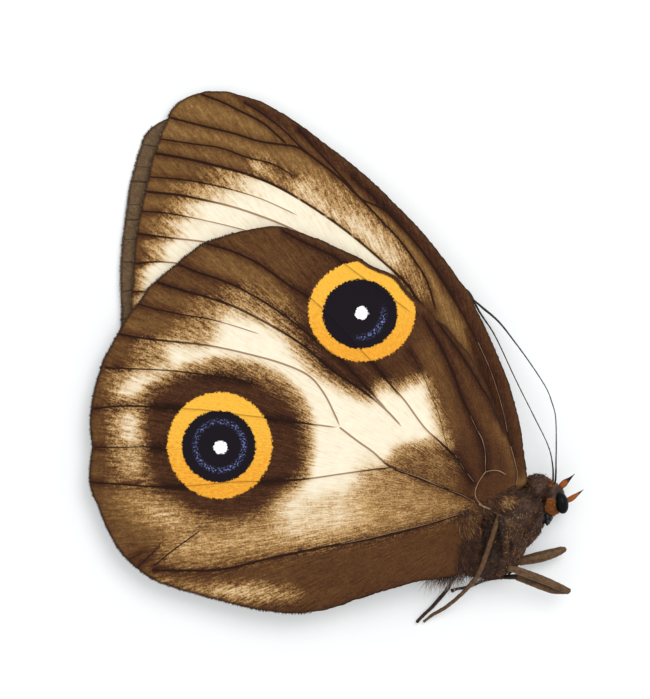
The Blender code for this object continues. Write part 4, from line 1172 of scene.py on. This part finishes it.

# %% [markdown]
# Hair on the real insect lies back from head to tail. The shades are drawn as patches: ochre between the
# ribs of the chest, tan at the wing's base, and painted shade in the hollow behind the leg.

# %% Body hair
HAIR_SHADES = [
    ([(480, 500), (540, 500), (540, 560), (500, 575), (480, 560)], 0.36, 1.0),
    ([(501, 532), (512, 530), (513, 550), (503, 552)], 0.8, 0.4),
    ([(500, 496), (512, 496), (512, 507), (499, 507)], 0.72, 0.4),
    ([(460, 515), (478, 515), (470, 535), (458, 535)], 0.55, 0.5),
    ([(504, 517), (518, 516), (518, 524), (504, 524)], 0.66, 0.3),
    ([(514, 500), (530, 494), (532, 520), (518, 524)], 0.5, 0.6),
    # Painted shade: dark hair in the hollow behind the leg.
    ([(486, 520), (503, 520), (500, 565), (478, 566)], 0.08, 0.5),
    ([(505, 540), (540, 522), (530, 545), (510, 575)], 0.42, 0.5),
    ([(527, 474), (552, 474), (552, 492), (530, 500)], 0.34, 0.4),
]
BACKWARD = np.array((-math.cos(BODY_TURN), -math.sin(BODY_TURN), 0.0))


def hair_shades(points):
    """The drawn shades, each hair a little lighter or darker than its patch."""
    shades = paint(points[:, :2], HAIR_SHADES, 0.3)
    return np.clip(shades + chance.normal(0.0, 0.22, len(points)), 0.0, 1.0)


def hair_on(name, shell, count, length, width, lie, material, shades=None, keep=None):
    """Hair over a shell. `lie` is how flat it is combed back, from 0 upright to 1 flat."""
    points, normals = surface_points(shell, count)
    if keep is not None:
        kept = keep(points)
        points, normals = points[kept], normals[kept]
    swirl = 0.2 * chance.normal(size=points.shape)
    direction = (1.0 - lie) * normals + lie * BACKWARD + swirl
    direction -= np.minimum(np.sum(direction * normals, axis=1) - 0.15, 0.0)[:, None] * normals
    direction /= np.linalg.norm(direction, axis=1)[:, None]
    lengths = length * chance.uniform(0.5, 1.3, len(points))
    tips = points + direction * lengths[:, None]
    tints = hair_shades(points) if shades is None else shades(points)
    widths = width * chance.uniform(0.6, 1.4, len(points))
    hair = make_hair(name, points - 0.05 * normals, tips, widths, tints)
    return dress(hair, [], material)


hair_on("thorax_hair", thorax, 15000, 0.34, 0.045, 0.92, body_hair)
hair_on("head_hair", head, 3000, 0.2, 0.035, 0.8, body_hair)
hair_on("abdomen_hair", abdomen, 3600, 0.4, 0.05, 0.84, body_hair)


def on_cheek(points):
    cheek = patch_share(points[:, :2], [(548, 498), (557, 500), (559, 514), (547, 515)], 0.12) > 0.5
    return cheek | (patch_share(points[:, :2], [(542, 480), (551, 479), (553, 486), (545, 487)], 0.1) > 0.6)


def cheek_shades(points):
    return np.clip(chance.normal(0.62, 0.16, len(points)), 0.0, 1.0)


hair_on("cheek_hair", head, 16000, 0.26, 0.05, 0.5, orange_hair, cheek_shades, on_cheek)


def wing_top(points, side=1, is_hindwing=True):
    """Height of the outer face of a wing over drawn points."""
    offset = HINDWING_OFFSET if is_hindwing else FOREWING_OFFSET
    placed = place_in_plan(points, side, is_hindwing)
    return wing_height(placed, side, offset, is_hindwing) + side * 0.5 * WING_THICKNESS


def hair_along(name, line, count, spread, heading, length, width, height, tint, material):
    """A band of hair along a drawn line, headed one way in plan and rising a little."""
    track = smooth_line(in_plan(line), 0.2)
    roots = track[chance.integers(0, len(track), count)] + spread * chance.normal(size=(count, 2))
    z = height(roots)
    angle = math.radians(heading) + 0.45 * chance.normal(size=count)
    lengths = length * chance.uniform(0.5, 1.25, count)
    tips = roots + lengths[:, None] * np.stack([np.cos(angle), np.sin(angle)], axis=1)
    tip_z = np.maximum(z + 0.18 * lengths * chance.normal(0.4, 0.6, count), 0.05)
    tints = np.clip(tint(roots) + chance.normal(0.0, 0.15, count), 0.0, 1.0)
    hair = make_hair(name, np.column_stack([roots, z]), np.column_stack([tips, tip_z]),
                     width * chance.uniform(0.6, 1.4, count), tints, 0.08)
    return dress(hair, [], material)


def drawn_shades(roots):
    return paint(roots, HAIR_SHADES, 0.32)


def over_wing(gap):
    return lambda roots: wing_top(roots) + gap


def one_value(value):
    return lambda roots: np.full(len(roots), value)


hair_along("base_hair_inner", [(464, 514), (470, 528), (469, 548), (462, 568)], 2400, 0.42, -60.0,
           0.7, 0.05, over_wing(0.03), drawn_shades, body_hair)
hair_along("base_hair_outer", [(482, 510), (492, 504), (504, 498), (513, 492)], 1300, 0.38, -35.0,
           0.5, 0.05, over_wing(0.03), drawn_shades, body_hair)
hair_along("belly_hair", [(440, 574), (455, 572), (470, 566), (480, 560)], 320, 0.3, -105.0,
           1.0, 0.05, over_wing(-0.4), one_value(0.22), body_hair)
hair_along("pale_fan", [(426, 577), (440, 575), (455, 574), (466, 572)], 260, 0.2, -112.0,
           1.9, 0.035, one_value(1.6), one_value(0.7), pale_hair)
hair_along("pale_tufts", [(476, 580), (485, 578), (494, 569), (502, 566)], 120, 0.18, 200.0,
           0.8, 0.04, one_value(1.2), one_value(0.8), pale_hair)
print("hair made")

# %% [markdown]
# A butterfly's leg is a femur, a tibia and a jointed tarsus. The feelers are orange with black
# points, the tongue is a small black coil, and the antennae end in slender clubs.

# %% Legs, antennae, feelers, tongue and eyes
LEG_PATHS = {
    "midleg_near": [
        [(17.3, -20.95, 4.5, 0.3), (18.5, -21.35, 3.9, 0.38), (20.7, -22.2, 3.1, 0.4),
         (22.4, -22.95, 2.8, 0.38), (23.5, -23.4, 2.65, 0.24)],
        [(23.4, -23.5, 2.35, 0.2), (22.0, -23.35, 2.25, 0.34), (20.9, -23.0, 2.2, 0.38),
         (18.2, -22.0, 2.3, 0.32)],
        [(18.2, -21.95, 2.35, 0.28), (16.4, -22.1, 1.3, 0.2), (15.0, -22.4, 0.75, 0.2),
         (13.4, -23.1, 0.45, 0.17), (12.3, -23.3, 0.34, 0.14), (11.75, -23.5, 0.3, 0.22)],
    ],
    "midleg_far": [
        [(18.5, -20.45, 1.75, 0.44), (20.4, -20.05, 1.65, 0.56), (21.9, -19.65, 1.5, 0.5),
         (22.75, -19.35, 1.5, 0.38), (23.15, -19.25, 1.48, 0.24)],
        [(23.0, -19.35, 1.25, 0.2), (21.0, -19.9, 0.75, 0.28), (18.6, -20.5, 0.4, 0.26)],
        [(18.6, -20.5, 0.4, 0.25), (17.9, -21.3, 0.25, 0.16), (17.5, -21.9, 0.2, 0.12)],
    ],
    "hindleg_near": [
        [(17.0, -19.6, 5.05, 0.3), (16.75, -17.4, 5.6, 0.36), (16.35, -15.7, 5.6, 0.28)],
        [(16.35, -15.6, 5.6, 0.3), (15.5, -18.2, 5.35, 0.25), (14.7, -20.6, 4.6, 0.25),
         (13.95, -22.3, 3.4, 0.25)],
        [(13.9, -22.3, 3.4, 0.25), (12.7, -23.7, 2.1, 0.2), (11.2, -25.05, 1.1, 0.19),
         (9.9, -25.85, 0.6, 0.17), (9.2, -26.4, 0.34, 0.13), (8.95, -26.6, 0.3, 0.16)],
    ],
    "hindleg_far": [
        [(12.8, -20.8, 0.3, 0.2), (12.1, -21.9, 0.32, 0.22), (11.2, -23.5, 0.35, 0.21)],
        [(11.2, -23.5, 0.35, 0.2), (9.8, -25.1, 0.33, 0.19), (8.75, -26.1, 0.3, 0.16),
         (8.25, -26.65, 0.28, 0.17)],
    ],
}
FORELEG_PATHS = {
    "foreleg_near": [(20.7, -15.5, 4.5, 0.16), (20.2, -16.3, 4.9, 0.3), (19.5, -17.2, 5.05, 0.26),
                     (18.9, -18.1, 4.9, 0.1)],
    "foreleg_far": [(20.7, -15.5, 0.6, 0.14), (20.2, -16.3, 0.32, 0.2), (19.5, -17.2, 0.23, 0.17),
                    (18.9, -18.1, 0.24, 0.1)],
}


def leg_spines(path, count, length):
    """Short bristles that stand off a leg, as thin rods."""
    line = smooth_line(path, 0.1)
    parts = []
    for index in chance.integers(2, len(line) - 2, count):
        centre, radius = line[index, :3], line[index, 3]
        run = line[index + 1, :3] - line[index - 1, :3]
        run /= np.linalg.norm(run)
        off = chance.normal(size=3)
        off -= (off @ run) * run
        off /= np.linalg.norm(off)
        root = centre + 0.8 * radius * off
        tip = root + length * (off + 0.7 * run)
        tip[2] = max(tip[2], 0.03)
        parts.append(sweep([(*root, 0.022), (*(0.5 * (root + tip)), 0.016), (*tip, 0.006)], 9.0, 5))
    return parts


# Each length of leg takes either the plain brown or its painted shade.
LEG_FINISHES = {
    "midleg_near": [leg_shell, leg_shell, leg_painted_shade],
    "midleg_far": [leg_shell, leg_painted_shade, leg_painted_shade],
    "hindleg_near": [leg_painted_shade, leg_shell, leg_shell],
    "hindleg_far": [leg_painted_shade, leg_painted_shade],
}
for leg_name, paths in LEG_PATHS.items():
    for number, (path, finish) in enumerate(zip(paths, LEG_FINISHES[leg_name])):
        parts = [sweep(path, 0.14, 16, 0.03)]
        if number >= len(paths) - 2:
            parts += leg_spines(path, 26, 0.12)
        replaced = [leg_name] if number == 0 else []
        limb = dress(join_parts(f"{leg_name}_length_{number + 1}", parts), replaced, finish)
        if leg_name == "hindleg_near" and number == 0:
            hair_on("hindleg_near_hair", limb, 1600, 0.3, 0.05, 0.85, body_hair)
for leg_name, path in FORELEG_PATHS.items():
    limb = join_parts(leg_name + "_limb", [sweep(path, 0.14, 16, 0.04)])
    dress(limb, [leg_name], leg_painted_shade)
    hair_on(leg_name + "_brush", limb, 500, 0.4, 0.05, 0.5, body_hair)

ANTENNA_PATHS = {
    "antenna_near": [
        (21.85, -13.3, 2.8, 0.1), (22.05, -12.15, 3.1, 0.1), (22.1, -10.3, 3.1, 0.075),
        (22.12, -8.0, 3.05, 0.06), (22.05, -5.9, 3.0, 0.055), (21.7, -4.5, 2.9, 0.055),
        (21.1, -3.0, 2.8, 0.055), (19.6, -0.65, 2.55, 0.06), (17.9, 1.7, 2.3, 0.075),
        (16.4, 3.6, 2.0, 0.1), (14.8, 5.0, 1.72, 0.12), (13.95, 5.75, 1.6, 0.07)],
    "antenna_far": [
        (21.55, -13.3, 2.5, 0.1), (21.85, -12.15, 2.3, 0.1), (21.75, -10.4, 2.3, 0.07),
        (21.3, -8.7, 2.2, 0.055), (20.0, -6.0, 1.95, 0.055), (18.15, -2.25, 1.5, 0.055),
        (16.1, 2.15, 0.95, 0.07), (14.6, 4.5, 0.6, 0.1), (13.6, 6.4, 0.35, 0.12),
        (13.05, 6.95, 0.3, 0.07)],
}
for antenna_name, path in ANTENNA_PATHS.items():
    dress(join_parts(antenna_name + "_rod", [sweep(path, 0.12, 10, 0.015)]), [antenna_name],
          black_horn)

PALP_PATHS = {
    "palp_near": [(23.0, -14.4, 2.7, 0.2), (23.5, -14.2, 2.72, 0.28), (23.85, -13.98, 2.75, 0.25),
                  (24.3, -13.65, 2.8, 0.14), (24.78, -13.27, 2.8, 0.03)],
    "palp_far": [(22.6, -12.95, 2.35, 0.3), (22.95, -12.62, 2.3, 0.34), (23.2, -12.4, 2.25, 0.26),
                 (23.55, -12.1, 2.2, 0.13), (23.9, -11.77, 2.15, 0.03)],
}


def palp_shades(points):
    """Orange near the head, black over the last third."""
    share = np.clip((points[:, 0] + points[:, 1] - 10.6) / 0.5, 0.0, 1.0)
    return np.clip(0.62 - 0.6 * share * share + chance.normal(0.0, 0.1, len(points)), 0.0, 1.0)


orange_skin, orange_tree, orange_shader = new_material("orange_skin", 0.7, Specular_IOR_Level=0.2)
orange_place = add_node(orange_tree, "ShaderNodeTexCoord").outputs["Object"]
orange_parts = add_node(orange_tree, "ShaderNodeSeparateXYZ", {0: orange_place})
orange_sum = calculate(orange_tree, "ADD", orange_parts.outputs[0], orange_parts.outputs[1])
orange_colour = ramp(orange_tree, remap(orange_tree, orange_sum, 10.55 * MM, 11.0 * MM), [
    (0.0, linear(150, 82, 34)), (0.5, linear(92, 50, 24)), (1.0, linear(20, 16, 16))])
orange_tree.links.new(orange_colour, orange_shader.inputs["Base Color"])
FEELER_AHEAD = np.array((0.75, 0.62, 0.0))
for palp_name, path in PALP_PATHS.items():
    palp = join_parts(palp_name + "_feeler", [sweep(path, 0.06, 14)])
    dress(palp, [palp_name], orange_skin)
    points, normals = surface_points(palp, 500)
    lengths = 0.22 * chance.uniform(0.5, 1.3, len(points))
    swirl = 0.12 * chance.normal(size=points.shape)
    tips = points + lengths[:, None] * (0.35 * normals + FEELER_AHEAD + swirl)
    widths = np.full(len(points), 0.035)
    hair = make_hair(palp_name + "_hair", points, tips, widths, palp_shades(points), 0.02)
    dress(hair, [], orange_hair)

tongue_path = [(21.2 + 0.46 * (0.28 + 0.72 * share) * math.cos(2.5 * math.pi * share + 0.4),
                -16.2 + 0.46 * (0.28 + 0.72 * share) * math.sin(2.5 * math.pi * share + 0.4),
                2.6, 0.13 - 0.03 * (1.0 - share)) for share in np.linspace(0.0, 1.0, 28)]
MOUTH_LUMPS = [(20.85, -16.1, 3.3, 0.36), (21.2, -16.4, 3.3, 0.42), (21.5, -16.0, 3.2, 0.36),
               (21.15, -15.85, 3.4, 0.4)]
mouth_parts = [sweep(tongue_path, 0.05, 12)]
for x, y, z, radius in MOUTH_LUMPS:
    start, end = ((x + side * 0.6 * radius, y, z, 0.55 * radius) for side in (-1, 1))
    mouth_parts.append(sweep([start, (x, y, z, radius), end], 0.05, 14, 0.12))
dress(join_parts("tongue_coil", mouth_parts), ["proboscis"], black_horn)

EYE_SIZES = (0.68, 1.1, 0.76)
eye_material, eye_tree, eye_shader = new_material("eye_glass", 0.32, Specular_IOR_Level=0.08)
eye_place = add_node(eye_tree, "ShaderNodeTexCoord").outputs["Object"]
eye_cells = add_node(eye_tree, "ShaderNodeTexVoronoi", {"Vector": eye_place, "Scale": 9000.0})
eye_tree.links.new(ramp(eye_tree, eye_cells.outputs["Distance"], [
    (0.0, linear(20, 22, 24)), (0.6, linear(8, 9, 10))]), eye_shader.inputs["Base Color"])
add_bump(eye_tree, eye_shader, eye_cells.outputs["Distance"], 0.4, 0.02 * MM)
for eye_name, side in (("eye_near", 1), ("eye_far", -1)):
    centre = (22.62, -14.52, 2.6 + side * 1.02)
    eye_mesh = oval_mesh(eye_name + "_globe", [(centre, EYE_SIZES, 0.2)], 48, 32)
    eye_mesh.shade_smooth()
    dress(add_object(eye_name + "_globe", eye_mesh), [eye_name], eye_material)
print("limbs, antennae and head parts made")

# %% [markdown]
# Some raised veins and edges catch the light, and their highlights are painted as thin pale lines, most of
# all near the root. The outer edges of the wings carry a fringe of fine scales.

# %% Painted vein highlights and fringes
# Painted highlights: thin pale tubes on the outer face of each wing, along lit veins and edges.
VEIN_HIGHLIGHT_LINES = {
    True: [
        ([(391, 467.5), (407, 473), (419.5, 477), (432, 482.5), (446, 488.5), (460.5, 494),
          (474, 501)], 0.045),
        ([(484.6, 471.3), (489.7, 470), (495.5, 469.7), (500.6, 471.3), (504.4, 473.8)], 0.055),
        ([(484.6, 471.3), (480.8, 476.4), (477, 482.7), (474.4, 489.7), (474.4, 494.8), (476.4, 499.3),
          (483.4, 507)], 0.055),
        ([(484.6, 471.3), (484.6, 465.5), (484.6, 453), (482, 440), (477, 430), (470, 415)], 0.04),
        ([(473, 481), (466, 472), (460, 463), (455, 455)], 0.028),
        ([(340, 544), (369, 538), (397, 531), (425, 524), (453, 515), (463, 511.5)], 0.032),
        ([(510, 446), (515.5, 468), (516, 476), (515, 484)], 0.03),
        ([(478, 503), (484, 506), (489, 508)], 0.11),
    ],
    False: [([(478, 342), (490, 369), (499, 396), (505, 420), (507, 432)], 0.03)],
}
VEIN_HIGHLIGHT_GAIN = 0.85
for side, side_name in ((1, "near"), (-1, "far")):
    for is_hindwing, lines in VEIN_HIGHLIGHT_LINES.items():
        parts = []
        for line, radius in lines:
            track = smooth_line(in_plan(line), 0.25)
            z = wing_top(track, side, is_hindwing) + side * 0.02
            placed = place_in_plan(track, side, is_hindwing)
            radii = np.full(len(z), VEIN_HIGHLIGHT_GAIN * radius)
            parts.append(sweep(np.column_stack([placed, z, radii]), 1.0, 8))
        wing_name = ("hind" if is_hindwing else "fore") + "_" + side_name
        dress(join_parts("vein_highlights_" + wing_name, parts), [], vein_painted_highlight)


def make_fringe(name, drawn_line, side, is_hindwing, length, shade):
    """Fine scales that stand out from a wing's edge."""
    line = smooth_line(in_plan(drawn_line), 0.07)
    run = np.gradient(line, axis=0)
    outward = np.stack([-run[:, 1], run[:, 0]], axis=1) / np.linalg.norm(run, axis=1)[:, None]
    inner_side = in_plan([(300, 400)])[0] - line.mean(axis=0)
    if np.sum(outward.mean(axis=0) * inner_side) > 0.0:
        outward = -outward
    count = len(line)
    lengths = length * chance.uniform(0.45, 1.2, count)
    slant = 0.35 * chance.normal(size=(count, 1)) * run / np.linalg.norm(run, axis=1)[:, None]
    tips = line + lengths[:, None] * (outward + slant)
    roots = line - 0.12 * outward
    height = wing_top(line, side, is_hindwing) - side * 0.06
    placed = [place_in_plan(points, side, is_hindwing) for points in (roots, tips)]
    hair = make_hair(name, np.column_stack([placed[0], height]), np.column_stack([placed[1], height]),
                     0.1 * chance.uniform(0.7, 1.3, count),
                     np.clip(shade + chance.normal(0.0, 0.2, count), 0.0, 1.0), 0.0)
    dress(hair, [], fringe_hair)


FORE_EDGE = FOREWING_OUTLINE[31:50]
HIND_EDGE = HINDWING_OUTLINE[4:58]
for side, side_name in ((1, "near"), (-1, "far")):
    make_fringe("fringe_fore_" + side_name, FORE_EDGE, side, False, 0.18, 0.45)
    make_fringe("fringe_hind_" + side_name, HIND_EDGE, side, True, 0.18, 0.25)
print("light veins and fringes made")
